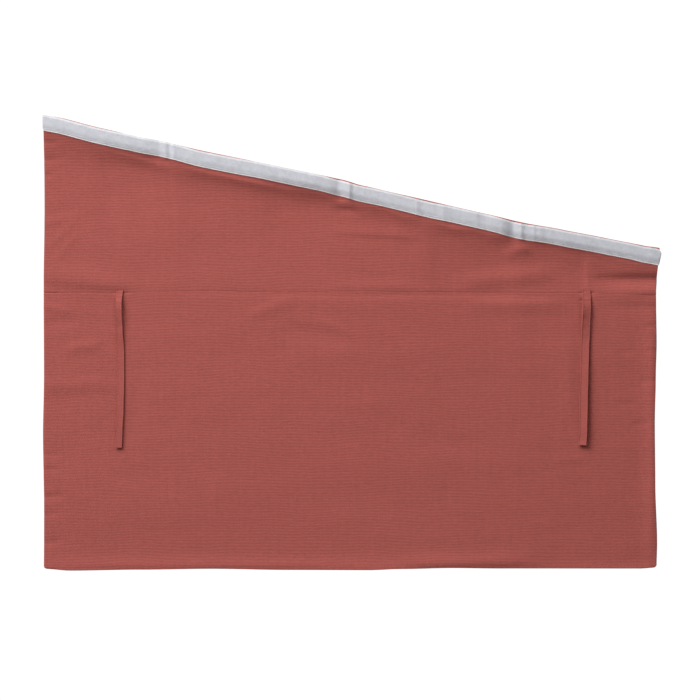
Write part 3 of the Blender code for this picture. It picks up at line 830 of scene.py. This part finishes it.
def sew(name, paths, settings, material, seed):
    """One piece of all the stitches along the paths."""
    points, faces = stitch_shape(settings.length, settings.thread)
    draw = random.Random(seed)
    all_points, all_faces = [], []
    for path in paths:
        for middle, along in zip(*stitch_places(path, settings.pitch)):
            lean = draw.uniform(-STITCH_LEAN, STITCH_LEAN)
            stretch = draw.uniform(*STITCH_STRETCH)
            side = np.cross((0.0, 1.0, 0.0), along)
            side = side / np.linalg.norm(side)
            along = along + side * lean
            lengthways = points[:, [0]] * along * stretch
            crossways = points[:, [1]] * np.cross(side, along) + points[:, [2]] * side
            start = len(all_points) * len(points)
            all_points.append(middle + lengthways + crossways)
            all_faces += [tuple(start + index for index in face) for face in faces]
    mesh = bpy.data.meshes.new(name)
    mesh.from_pydata(np.concatenate(all_points).tolist(), [], all_faces)
    piece = bpy.data.objects.new(name, mesh)
    bpy.context.scene.collection.objects.link(piece)
    make_active(piece)
    bpy.ops.object.mode_set(mode="EDIT")
    bpy.ops.mesh.select_all(action="SELECT")
    bpy.ops.mesh.normals_make_consistent(inside=False)
    bpy.ops.object.mode_set(mode="OBJECT")
    finish_piece(piece, material, smooth_angle=80)
    return piece


def path_on_cloth(across, z, depth):
    """A row of sewing at places on the nominal panel, at a depth behind its face."""
    return np.stack(on_cloth(*np.broadcast_arrays(across, z), depth), axis=1)


# Materials


class Value:
    """The number that a socket gives. + - * and / add the nodes that work out new ones."""

    def __init__(self, nodes, socket):
        self.nodes = nodes
        self.socket = socket

    def __add__(self, other):
        return self.nodes.math("ADD", self, other)

    def __sub__(self, other):
        return self.nodes.math("SUBTRACT", self, other)

    def __rsub__(self, other):
        return self.nodes.math("SUBTRACT", other, self)

    def __mul__(self, other):
        return self.nodes.math("MULTIPLY", self, other)

    def __truediv__(self, other):
        return self.nodes.math("DIVIDE", self, other)


class Nodes:
    """Adds and links the nodes of one tree in few words."""

    def __init__(self, tree):
        self.tree = tree

    def add(self, kind, inputs=None, **settings):
        node = self.tree.nodes.new(kind)
        for key, value in settings.items():
            setattr(node, key, value)
        for key, value in (inputs or {}).items():
            self.feed(node.inputs[key], value)
        return node

    def feed(self, socket, value):
        if isinstance(value, Value):
            value = value.socket
        if isinstance(value, bpy.types.NodeSocket):
            self.tree.links.new(value, socket)
        else:
            socket.default_value = value

    def math(self, operation, *values, clamp=False):
        node = self.add("ShaderNodeMath", dict(enumerate(values)), operation=operation, use_clamp=clamp)
        return Value(self, node.outputs[0])

    def split(self, vector):
        return [Value(self, each) for each in self.add("ShaderNodeSeparateXYZ", {0: vector}).outputs]

    def join(self, x, y, z=0.0):
        return self.add("ShaderNodeCombineXYZ", {0: x, 1: y, 2: z}).outputs[0]

    def noise(self, vector, scale=1.0, detail=2.0):
        """Noise from -0.5 to 0.5."""
        node = self.add("ShaderNodeTexNoise", {"Vector": vector, "Scale": scale, "Detail": detail})
        return Value(self, node.outputs["Fac"]) - 0.5

    def cloth_place(self):
        """The place on the cloth itself, across and up."""
        return self.add("ShaderNodeUVMap", uv_map=UV_NAME).outputs[0]


def new_group(name, numbers, outputs):
    """A shader node group that takes a Vector and the numbers, with its Nodes and both its ends."""
    tree = bpy.data.node_groups.new(name, "ShaderNodeTree")
    tree.interface.new_socket("Vector", in_out="INPUT", socket_type="NodeSocketVector")
    for label, number in numbers.items():
        socket = tree.interface.new_socket(label, in_out="INPUT", socket_type="NodeSocketFloat")
        socket.default_value = number
    for label in outputs:
        tree.interface.new_socket(label, in_out="OUTPUT", socket_type="NodeSocketFloat")
    nodes = Nodes(tree)
    given = {each.name: Value(nodes, each) for each in nodes.add("NodeGroupInput").outputs}
    return nodes, given, nodes.add("NodeGroupOutput").inputs


def plain_weave(name):
    """Height of an over-and-under weave, and the mask of the yarns against the gaps between them."""
    numbers = {"Warp Pitch": 0.0007, "Weft Pitch": 0.0008, "Unevenness": 0.3}
    nodes, given, result = new_group(name, numbers, ("Height", "Yarn"))
    u, v, _ = nodes.split(given["Vector"])
    drift = nodes.noise(given["Vector"], scale=120.0, detail=3.0) * given["Unevenness"]
    slub = nodes.noise(nodes.join(u * 70.0, v * 500.0)) * given["Unevenness"]
    warp = nodes.math("SINE", (u / given["Warp Pitch"] + drift) * math.pi)
    weft = nodes.math("SINE", (v / given["Weft Pitch"] + slub) * math.pi)
    warp_over = warp * weft * 0.5 + 0.5
    warp_round, weft_round = nodes.math("ABSOLUTE", warp), nodes.math("ABSOLUTE", weft)
    height = nodes.math("MAXIMUM", warp_round * warp_over, weft_round * (1.0 - warp_over))
    nodes.feed(result["Height"], height)
    nodes.feed(result["Yarn"], nodes.math("SQRT", nodes.math("MAXIMUM", warp_round, weft_round)))
    return nodes.tree


def slub_ribs(name):
    """Uneven level ribs in short dashes, from -1 to 1."""
    nodes, given, result = new_group(name, {"Pitch": 0.0047, "Length": 0.010}, ("Rib",))
    u, v, _ = nodes.split(given["Vector"])
    runs, ribs = u / given["Length"], v / given["Pitch"]
    drift = nodes.noise(nodes.join(runs, ribs * 0.9), scale=0.07, detail=1.0)
    jitter = nodes.noise(nodes.join(runs, ribs, 5.1), scale=0.7, detail=1.0)
    wave = nodes.math("SINE", (ribs + drift * 3.0 + jitter * 0.5) * (2 * math.pi))
    strength = nodes.noise(nodes.join(runs, ribs, 3.7), scale=0.8, detail=1.0)
    strength = nodes.math("MULTIPLY_ADD", strength, 2.4, 0.7, clamp=True)
    dashes = nodes.noise(nodes.join(runs, ribs * 2.2, 9.1)) * 1.2
    nodes.feed(result["Rib"], wave * strength + dashes)
    return nodes.tree


def soft_mottle(name):
    """Soft patches from -0.5 to 0.5."""
    nodes, given, result = new_group(name, {"Size": 0.05}, ("Patch",))
    scale = nodes.math("DIVIDE", 1.0, given["Size"])
    nodes.feed(result["Patch"], nodes.noise(given["Vector"], scale=scale, detail=3.0))
    return nodes.tree


# The finish of each surface, as values of its shader
CANVAS_FINISH = {
    "Roughness": 0.92,
    "Specular IOR Level": 0.15,
    "Sheen Weight": 0.05,
    "Sheen Roughness": 0.6,
    "Sheen Tint": (1.0, 0.72, 0.66, 1.0),
}
TAPE_FINISH = {
    "Roughness": 0.8,
    "Specular IOR Level": 0.3,
    "Sheen Weight": 0.2,
    "Sheen Roughness": 0.5,
}
THREAD_FINISH = {"Roughness": 0.7, "Sheen Weight": 0.1}
# Sizes of the canvas's patches and of its thicker upright yarns, the fade of the tape's nap, and the reach
# of the painted highlight on its lower selvedge
DYE_PATCH = 0.045
BLOTCH_SIZE = 0.0075
LINT_SIZE = 0.0022
YARN_WIDTH = 0.0034
YARN_LENGTH = 0.060
NAP_EDGE = 0.0006
LOWER_SELVEDGE_HIGHLIGHT_FADE = 0.0036


def new_material(name):
    """A material with its Principled shader, and the Nodes that fill it."""
    material = bpy.data.materials.new(name)
    material.use_nodes = True
    nodes = Nodes(material.node_tree)
    return material, nodes, material.node_tree.nodes["Principled BSDF"]


def group_in(nodes, make, inputs):
    """Places the node group that make builds, with its own values, and gives what it puts out."""
    tree = bpy.data.node_groups.get(make.__name__) or make(make.__name__)
    node = nodes.add("ShaderNodeGroup", inputs, node_tree=tree)
    return {each.name: Value(nodes, each) for each in node.outputs}


def mottle(nodes, at, size):
    return group_in(nodes, soft_mottle, {"Vector": at, "Size": size})["Patch"]


def paint(nodes, shader, colour, shade, height, values):
    """Feeds the shader its colour times the shade, a bump of the height, and its plain values."""
    tint = nodes.add("ShaderNodeVectorMath", {0: colour, "Scale": shade}, operation="SCALE")
    nodes.feed(shader.inputs["Base Color"], tint.outputs[0])
    if height is not None:
        bump = nodes.add("ShaderNodeBump", {"Height": height, "Distance": 1.0, "Strength": 1.0})
        nodes.feed(shader.inputs["Normal"], bump.outputs[0])
    for name, value in values.items():
        shader.inputs[name].default_value = value


def canvas_material(name, cloth, rib_strength=1.0):
    """Dyed canvas: a fine plain weave, slubby ribs, uneven dye, and paler folded edges."""
    if name in bpy.data.materials:
        return bpy.data.materials[name]
    material, nodes, shader = new_material(name)
    at = nodes.cloth_place()
    pitches = {"Warp Pitch": cloth.warp_pitch, "Weft Pitch": cloth.weft_pitch, "Unevenness": 0.5}
    weave = group_in(nodes, plain_weave, {"Vector": at, **pitches})
    pitches = {"Pitch": cloth.rib_pitch, "Length": cloth.rib_length}
    rib = group_in(nodes, slub_ribs, {"Vector": at, **pitches})["Rib"] * rib_strength
    lint = mottle(nodes, at, LINT_SIZE)
    u, v, _ = nodes.split(at)
    upright = nodes.noise(nodes.join(u / YARN_WIDTH, v / YARN_LENGTH, 2.3), detail=1.0)
    wear = nodes.add("ShaderNodeAttribute", attribute_name=WEAR_NAME).outputs["Fac"]
    shade = rib * 0.085 + 1.0 + mottle(nodes, at, DYE_PATCH) * 0.05 + upright * 0.10
    shade = shade + mottle(nodes, at, BLOTCH_SIZE) * 0.20 + lint * 0.16
    shade = shade + (weave["Yarn"] - 0.9) * 0.5 + nodes.math("MULTIPLY", wear, 0.06)
    height = weave["Height"] * 0.00010 + rib * 0.000075 + lint * 0.00004
    paint(nodes, shader, cloth.colour[:], shade, height, CANVAS_FINISH)
    return material


def tape_material(name, tape):
    """Brushed nap between two smooth, tightly woven selvedges, the lower one lightened by a painted
    highlight.
    """
    material, nodes, shader = new_material(name)
    at = nodes.cloth_place()
    _, v, _ = nodes.split(at)
    from_edge = nodes.math("MINIMUM", v, TAPE_WIDTH - v)
    nap = nodes.math("DIVIDE", from_edge - tape.selvedge, NAP_EDGE, clamp=True)
    pitches = {"Warp Pitch": 0.0005, "Weft Pitch": 0.0004, "Unevenness": 0.2}
    weave = group_in(nodes, plain_weave, {"Vector": at, **pitches})
    # Painted highlight: the lower selvedge is painted lighter, fading out above it, for the light from
    # above that it catches
    lower = nodes.math("DIVIDE", 3 * tape.selvedge - v, LOWER_SELVEDGE_HIGHLIGHT_FADE, clamp=True)
    shade = mottle(nodes, at, 0.0016) * 0.16 + 1.0
    shade = shade + mottle(nodes, at, 0.018) * 0.30 + mottle(nodes, at, 0.006) * 0.24
    shade = shade * (lower * LOWER_SELVEDGE_PAINTED_HIGHLIGHT + 1.0)
    blend = nodes.add("ShaderNodeMix", data_type="RGBA")
    nodes.feed(blend.inputs["Factor"], nap)
    nodes.feed(blend.inputs[6], (*tape.selvedge_colour, 1.0))
    nodes.feed(blend.inputs[7], (*tape.colour, 1.0))
    loops = (nodes.noise(at, scale=2600.0) + 0.5) * nap
    height = loops * 0.00022 + weave["Height"] * 0.00005
    paint(nodes, shader, blend.outputs[2], shade, height, TAPE_FINISH)
    return material


def thread_material(name, colour):
    """Twisted sewing thread."""
    material, nodes, shader = new_material(name)
    at = nodes.add("ShaderNodeTexCoord").outputs["Object"]
    shade = mottle(nodes, at, 0.0012) * 0.25 + 1.0
    paint(nodes, shader, colour[:], shade, nodes.noise(at, scale=5000.0) * 0.00005, THREAD_FINISH)
    return material


def floor_material():
    """Pale matt floor with a faint, even texture."""
    material, nodes, shader = new_material("pale_floor")
    at = nodes.add("ShaderNodeTexCoord").outputs["Object"]
    shade = mottle(nodes, at, 0.4) * 0.02 + 1.0
    paint(nodes, shader, (0.80, 0.80, 0.79), shade, None, {"Roughness": 0.85})
    return material


# Operators


def panel_size(height, low, high):
    """Flat size of a panel with its turned edges let out."""
    across = WIDTH + 2 * (SIDE_HEM.width + SIDE_HEM.tuck)
    return across, height + sum(hem.width + hem.tuck for hem in (low, high))


def make_panel(context, node, *shape):
    """A panel from its grid: its sheet thickened, painted and hung on the frame."""
    cloth = context.scene.bed_curtain.cloth
    panel = grid_sheet(f"{node}_cloth", *panel_points(cloth, *shape))
    apply_modifier(panel, "Canvas", "SOLIDIFY", thickness=cloth.thickness, offset=-1)
    finish_piece(panel, canvas_material("dyed_canvas", cloth), node)


class CURTAIN_OT_lower_panel(Operator):
    """Makes the straight lower panel with its side hems, bottom hem and seam allowance"""

    bl_idname = "curtain.lower_panel"
    bl_label = "Lower panel"

    def execute(self, context):
        corners = (
            Corner(-HALF_WIDTH, 0, -1, -1, BOTTOM_LEFT_ROUND),
            Corner(HALF_WIDTH, 0, 1, -1, BOTTOM_RIGHT_ROUND),
        )
        seam = seam_fold(SEAM_BITE)
        make_panel(context, "lower_panel", BOTTOM_HEM, SEAM_TURN, bottom_z, seam, corners)
        return {"FINISHED"}


class CURTAIN_OT_upper_panel(Operator):
    """Makes the slanted upper panel with its side hems, heading and seam allowance"""

    bl_idname = "curtain.upper_panel"
    bl_label = "Upper panel"

    def execute(self, context):
        make_panel(context, "upper_panel", SEAM_TURN, HEADING, seam_fold(-SEAM_BITE), top_z)
        return {"FINISHED"}


def tape_z(along, across):
    """Height of a place on the tape, across from its lower edge."""
    low = top_z(along) - along_table(TAPE_LINE, along, "out") - TAPE_DROP
    return low + TAPE_DROP * across / TAPE_WIDTH


def tape_height(along, across, tape):
    """How far the tape's face stands above its back: low selvedges and a crowned, puckered nap."""
    from_edge = np.minimum(across, TAPE_WIDTH - across)
    base = CLOTH_FRONT - tape.nap - TAPE_CLEAR
    shoulder = smooth((from_edge - tape.selvedge) / NAP_SHOULDER)
    crown = 1 - NAP_FALL * (1 - smooth((across - tape.selvedge) / NAP_FALL_REACH))
    edge_round = mix(SELVEDGE_THIN, 1, smooth(from_edge / SELVEDGE_ROUND))
    lip = TAPE_LIP * (1 - smooth((across - SELVEDGE_ROUND) / TAPE_LIP_REACH))
    puckers = sum(each.rise * bell(along - each.along, each.spread) for each in TAPE_PUCKERS)
    return (base + lip) * edge_round + tape.nap * shoulder * crown + puckers


def end_lean(along):
    """How far the tape's right end leans out, so that its cut end stands square to the slant."""
    end = HALF_WIDTH + TAPE_PAST_RIGHT
    return smooth((along - end) / TAPE_END_LEAN + 1) * math.sin(-SLANT)


class CURTAIN_OT_loop_tape(Operator):
    """Makes the loop tape along the front of the slanted top edge"""

    bl_idname = "curtain.loop_tape"
    bl_label = "Loop tape"

    def execute(self, context):
        tape = context.scene.bed_curtain.tape
        start, end = -HALF_WIDTH - TAPE_PAST_LEFT, HALF_WIDTH + TAPE_PAST_RIGHT
        spots = ((start, *TAPE_LEFT_BAND), (end, *TAPE_RIGHT_BAND))
        along = graded_lines(start, end, tape.pitch, spots)
        spots = ((0, *TAPE_EDGE_BAND), (TAPE_WIDTH, *TAPE_EDGE_BAND))
        across = graded_lines(0, TAPE_WIDTH, tape.pitch, spots)
        u, v = np.meshgrid(along, across)
        corners = (
            Corner(start, 0, -1, -1, TAPE_LEFT_ROUND),
            Corner(start, TAPE_WIDTH, -1, 1, TAPE_LEFT_ROUND),
            Corner(end, TAPE_WIDTH, 1, 1, TAPE_RIGHT_TOP_ROUND),
            Corner(end, 0, 1, -1, TAPE_RIGHT_LOW_ROUND),
        )
        along, across = rounded(u, v, corners)
        x = along - end_lean(along) * (TAPE_WIDTH - across)
        z = tape_z(along, across)
        from_end = np.minimum(along - start, end - along)
        thinned = mix(TAPE_END_THIN, 1, smooth(from_end / TAPE_END_ROUND))
        height = tape_height(along, across, tape) * thinned
        nap = nap_noise(along, across) * smooth((height - NAP_START) / NAP_FADE)
        y = tape_back(x, z) - height - nap
        strip = grid_sheet("loop_tape_strip", x, y, z, u, v)
        apply_modifier(strip, "Backing", "SOLIDIFY", thickness=TAPE_BACKING, offset=-1)
        lay_back_flat(strip, y.size)
        nap_material = tape_material("brushed_loop_tape", tape)
        finish_piece(strip, nap_material, "loop_tape", smooth_angle=70)
        return {"FINISHED"}


def tape_back(x, z):
    """Y of the tape's back, which the cloth behind it carries."""
    return CLOTH_FRONT - TAPE_SINK - relief(x, z)


def nap_noise(along, across):
    """Small clumps of the brushed nap, drawn out along the tape."""
    total = np.zeros(along.size)
    for clump in NAP_CLUMPS:
        places = zip(along.ravel() / clump.along, across.ravel() / clump.across)
        heights = [noise.noise(Vector((a, b, clump.slice))) for a, b in places]
        total += clump.height * np.array(heights)
    return total.reshape(along.shape)


def lay_back_flat(strip, first):
    """Lays the tape's back, which is the points from first on, flat on the cloth."""
    behind = strip.data.vertices[first:]
    x, _, z = np.array([vertex.co for vertex in behind]).T
    for vertex, y in zip(behind, tape_back(x, z)):
        vertex.co.y = y


class CURTAIN_OT_ties(Operator):
    """Makes the two hanging ties, each a strip folded on itself with its raw edges turned in"""

    bl_idname = "curtain.ties"
    bl_label = "Ties"

    def execute(self, context):
        canvas = canvas_material("tie_canvas", context.scene.bed_curtain.cloth, TIE_RIBS)
        for tie in TIES:
            strip = grid_sheet(tie.name, *tie_points(tie))
            apply_modifier(strip, "Canvas", "SOLIDIFY", thickness=TIE_CANVAS, offset=-1)
            finish_piece(strip, canvas, tie.node)
            size = TIE_CUT_WIDTHS * tie.width, tie.length
        return {"FINISHED"}


def tie_profile(width, hollow):
    """(place across, depth) round the section of a folded tie, from one raw edge to the other."""
    half, deep, roll = width / 2, TIE_DEPTH, TIE_ROLL
    outer = deep / 2
    right, left = half - roll, -half + outer
    turn = np.linspace(0, math.pi, 6)[1:]
    wide_turn = np.linspace(0, math.pi, 8)[1:]
    front = np.linspace(0, 1, 17)[1:]
    inwards = np.linspace(0, 1, 3)
    back = np.linspace(0, 1, 9)[1:]
    sections = (
        (mix(right - TIE_TUCK, right, inwards), np.full(len(inwards), deep - 2 * roll)),
        (right + roll * np.sin(turn), deep - roll - roll * np.cos(turn)),
        (mix(right, left, back), np.full(len(back), deep)),
        (left - outer * np.sin(wide_turn), outer + outer * np.cos(wide_turn)),
        (mix(left, right, front), hollow * smooth(np.minimum(front, 1 - front) / TIE_RIM)),
        (right + roll * np.sin(turn), roll - roll * np.cos(turn)),
        (mix(right, right - TIE_TUCK, inwards[1:]), np.full(len(inwards) - 1, 2 * roll)),
    )
    return np.concatenate([np.stack(section, axis=1) for section in sections])


def tie_points(tie):
    """Arrays of x, y, z, u and v of a tie, from its free end up to its sewn top."""
    hollowed = tie_profile(tie.width, tie.hollow)
    level = tie_profile(tie.width, 0)
    count = len(level)
    middle = TIE_DEPTH / 2
    top = float(seam_z(np.array([tie.x]))[0]) + TIE_ABOVE_SEAM
    spots = [(line, *TIE_SEWN_REACH) for line in TIE_SEWN_LINES] + [(0, *TIE_TOP_REACH)]
    end = tie.length - TIE_END_ROUND
    rows = [
        (end + TIE_END_ROUND * math.sin(angle), math.cos(angle))
        for angle in np.linspace(math.pi / 2, 0, 5)[:-1]
    ]
    rows += [(drop, 1.0) for drop in graded_lines(0, end, TIE_ROW_PITCH, spots)[::-1]]
    points = []
    for drop, open_share in rows:
        sideways, stand_off, breadth, turn = (
            float(along_table(tie.rows, drop, name)) for name in TieRow._fields[1:]
        )
        pressed = min(sum(bell(drop - line, TIE_PRESS_SPREAD) for line in TIE_SEWN_LINES), 1)
        profile = mix(level, hollowed, smooth((tie.length - TIE_END_FLAT - drop) / TIE_END_RIM))
        forward = (middle - profile[:, 1]) * max(open_share, TIE_CLOSED)
        across = profile[:, 0] * breadth * (1 - TIE_PRESS_IN * pressed)
        x = tie.x + sideways + across * math.cos(turn) - forward * math.sin(turn)
        z = np.full(count, top - drop)
        lifted = stand_off + middle + abs(math.sin(turn)) * tie.width * breadth / 2
        y = CLOTH_FRONT - relief(np.full(count, tie.x), z) - lifted
        y = y - forward * math.cos(turn) - across * math.sin(turn)
        y = y + TIE_PRESS * pressed * (middle + forward) / TIE_DEPTH
        points.append((x, y, z, np.full(count, -drop)))
    x, y, z, v = (np.array(values) for values in zip(*points))
    steps = np.hypot(*np.diff(level, axis=0).T)
    u = np.broadcast_to(np.concatenate([[0], np.cumsum(steps)]), x.shape)
    return x, y, z, u, v


class CURTAIN_OT_sewing(Operator):
    """Lays every visible row of stitches, on the front and on the back"""

    bl_idname = "curtain.sewing"
    bl_label = "Sewing"

    def execute(self, context):
        settings = context.scene.bed_curtain
        sewing = settings.sewing
        red = thread_material("red_thread", sewing.red)
        white = thread_material("pale_thread", sewing.white)
        sunk = THREAD_SUNK * sewing.thread
        lower, upper = hem_rows(sunk)
        fronts, backs = tape_rows(settings.tape, sunk)
        lower = sew("lower_hem_stitches", lower, sewing, red, 11)
        upper = sew("upper_hem_stitches", upper, sewing, red, 12)
        fronts = sew("tape_stitches", fronts, sewing, white, 13)
        backs = sew("tape_stitches_back", backs, sewing, white, 14)
        describe_sheets()
        return {"FINISHED"}


def hem_rows(sunk):
    """Rows of sewing along the hems of the lower and of the upper panel, on both faces."""
    depths = (sunk, SIDE_HEM.depth - sunk)
    lower, upper = [], []
    up_lower = np.linspace(BOTTOM_Z + HEM_ROW_START, SEAM_Z - SEAM_MARGIN, 150)
    for side in (-1, 1):
        across = side * (HALF_WIDTH - SIDE_HEM.width + HEM_MARGIN)
        top = float(top_z(np.array([across]))[0])
        up_upper = np.linspace(SEAM_Z + SEAM_MARGIN, top - TAPE_DROP - HEM_MARGIN, 100)
        for depth in depths:
            lower.append(path_on_cloth(across, up_lower, depth))
            upper.append(path_on_cloth(across, up_upper, depth))
    across = np.linspace(-HALF_WIDTH + SEAM_MARGIN, HALF_WIDTH - SEAM_MARGIN, 400)
    hem_line = bottom_z(across) + BOTTOM_HEM.width - HEM_MARGIN
    lower += [path_on_cloth(across, hem_line, depth) for depth in depths]
    return lower, upper


def tape_rows(tape, sunk):
    """Rows of sewing along both selvedges of the tape, on its front and behind the heading."""
    fronts, backs = [], []
    inset = tape.selvedge * TAPE_ROW_INSET
    for across in (inset, TAPE_WIDTH - inset):
        along = np.linspace(-HALF_WIDTH + TAPE_ROW_MARGIN, HALF_WIDTH + TAPE_ROW_PAST, 500)
        x, z = along - end_lean(along) * (TAPE_WIDTH - across), tape_z(along, across)
        y = tape_back(x, z) - tape_height(along, across, tape) + sunk
        fronts.append(np.stack([x, y, z], axis=1))
        along = np.linspace(-HALF_WIDTH + TAPE_ROW_MARGIN, HALF_WIDTH - TAPE_ROW_MARGIN, 500)
        backs.append(path_on_cloth(along, tape_z(along, across), HEADING.depth - sunk))
    return fronts, backs


def describe_sheets():
    """Works out the flat sizes of the two panels with their turned edges let out, and keeps none of them.
    """
    panel_size(SEAM_HEIGHT, BOTTOM_HEM, SEAM_TURN)
    size = panel_size(MIDDLE_HEIGHT - SEAM_HEIGHT + SLANT_DROP / 2, SEAM_TURN, HEADING)
    size[0] * (size[1] - SLANT_DROP / 2)


class CURTAIN_OT_stage(Operator):
    """Sets the pale floor, the white surroundings, the two lights and the camera"""

    bl_idname = "curtain.stage"
    bl_label = "Stage"

    def execute(self, context):
        scene = context.scene
        stage = scene.bed_curtain.stage
        nothing_selected()
        floor_place = (VIEW_MIDDLE.x, FLOOR_BACK, CAD_BOX[0].z - stage.floor_drop)
        bpy.ops.mesh.primitive_plane_add(size=1, location=floor_place)
        floor = bpy.context.object
        floor.name = "floor"
        floor.scale = FLOOR_SIZE
        bpy.ops.object.transform_apply(location=True, rotation=True, scale=True)
        floor.data.materials.append(floor_material())

        world = bpy.data.worlds.new("white_surroundings")
        scene.world = world
        world.use_nodes = True
        nodes = Nodes(world.node_tree)
        sky = world.node_tree.nodes["Background"]
        sky.inputs["Color"].default_value = (1, 1, 1, 1)
        seen = nodes.add("ShaderNodeLightPath").outputs["Is Camera Ray"]
        strength = nodes.math("MULTIPLY_ADD", seen, SEEN_WHITE - stage.fill, stage.fill)
        nodes.feed(sky.inputs["Strength"], strength)

        add_light("key", KEY_FROM, KEY_SIZE, stage.key_power)
        add_light("top_light", TOP_FROM, TOP_SIZE, stage.top_power)

        back = Vector((0, stage.view_width * stage.focal_length / SENSOR_WIDTH, 0))
        bpy.ops.object.camera_add(location=VIEW_MIDDLE - back, rotation=(math.pi / 2, 0, 0))
        camera = bpy.context.object
        camera.name = "camera"
        camera.data.lens = stage.focal_length
        camera.data.sensor_width = SENSOR_WIDTH
        scene.camera = camera
        scene.view_settings.view_transform = "Standard"
        return {"FINISHED"}


def add_light(name, towards, size, power):
    """A round soft light that looks at the middle of the view."""
    bpy.ops.object.light_add(type="AREA", location=VIEW_MIDDLE + towards)
    light = bpy.context.object
    light.name = name
    light.data.shape = "DISK"
    light.data.size = size
    light.data.energy = power
    light.rotation_euler = towards.to_track_quat("Z", "Y").to_euler()


PIECES = (
    CURTAIN_OT_stage,
    CURTAIN_OT_upper_panel,
    CURTAIN_OT_lower_panel,
    CURTAIN_OT_loop_tape,
    CURTAIN_OT_ties,
    CURTAIN_OT_sewing,
)


class CURTAIN_PT_pieces(Panel):
    bl_idname = "CURTAIN_PT_pieces"
    bl_label = "Bed curtain"
    bl_space_type = "VIEW_3D"
    bl_region_type = "UI"
    bl_category = "Bed curtain"

    def draw(self, context):
        settings = context.scene.bed_curtain
        for group in (settings.cloth, settings.tape, settings.sewing, settings.stage):
            box = self.layout.box()
            for name in group.bl_rna.properties.keys():
                if name not in ("rna_type", "name"):
                    box.prop(group, name)
        for piece in PIECES:
            self.layout.operator(piece.bl_idname)


CLASSES = (
    ClothSettings,
    TapeSettings,
    SewingSettings,
    StageSettings,
    CurtainSettings,
    *PIECES,
    CURTAIN_PT_pieces,
)


def register():
    for each in CLASSES:
        bpy.utils.register_class(each)
    bpy.types.Scene.bed_curtain = PointerProperty(type=CurtainSettings)


def unregister():
    del bpy.types.Scene.bed_curtain
    for each in reversed(CLASSES):
        bpy.utils.unregister_class(each)


def main():
    register()
    for piece in PIECES:
        family, action = piece.bl_idname.split(".")
        getattr(getattr(bpy.ops, family), action)()


if __name__ == "__main__":
    main()
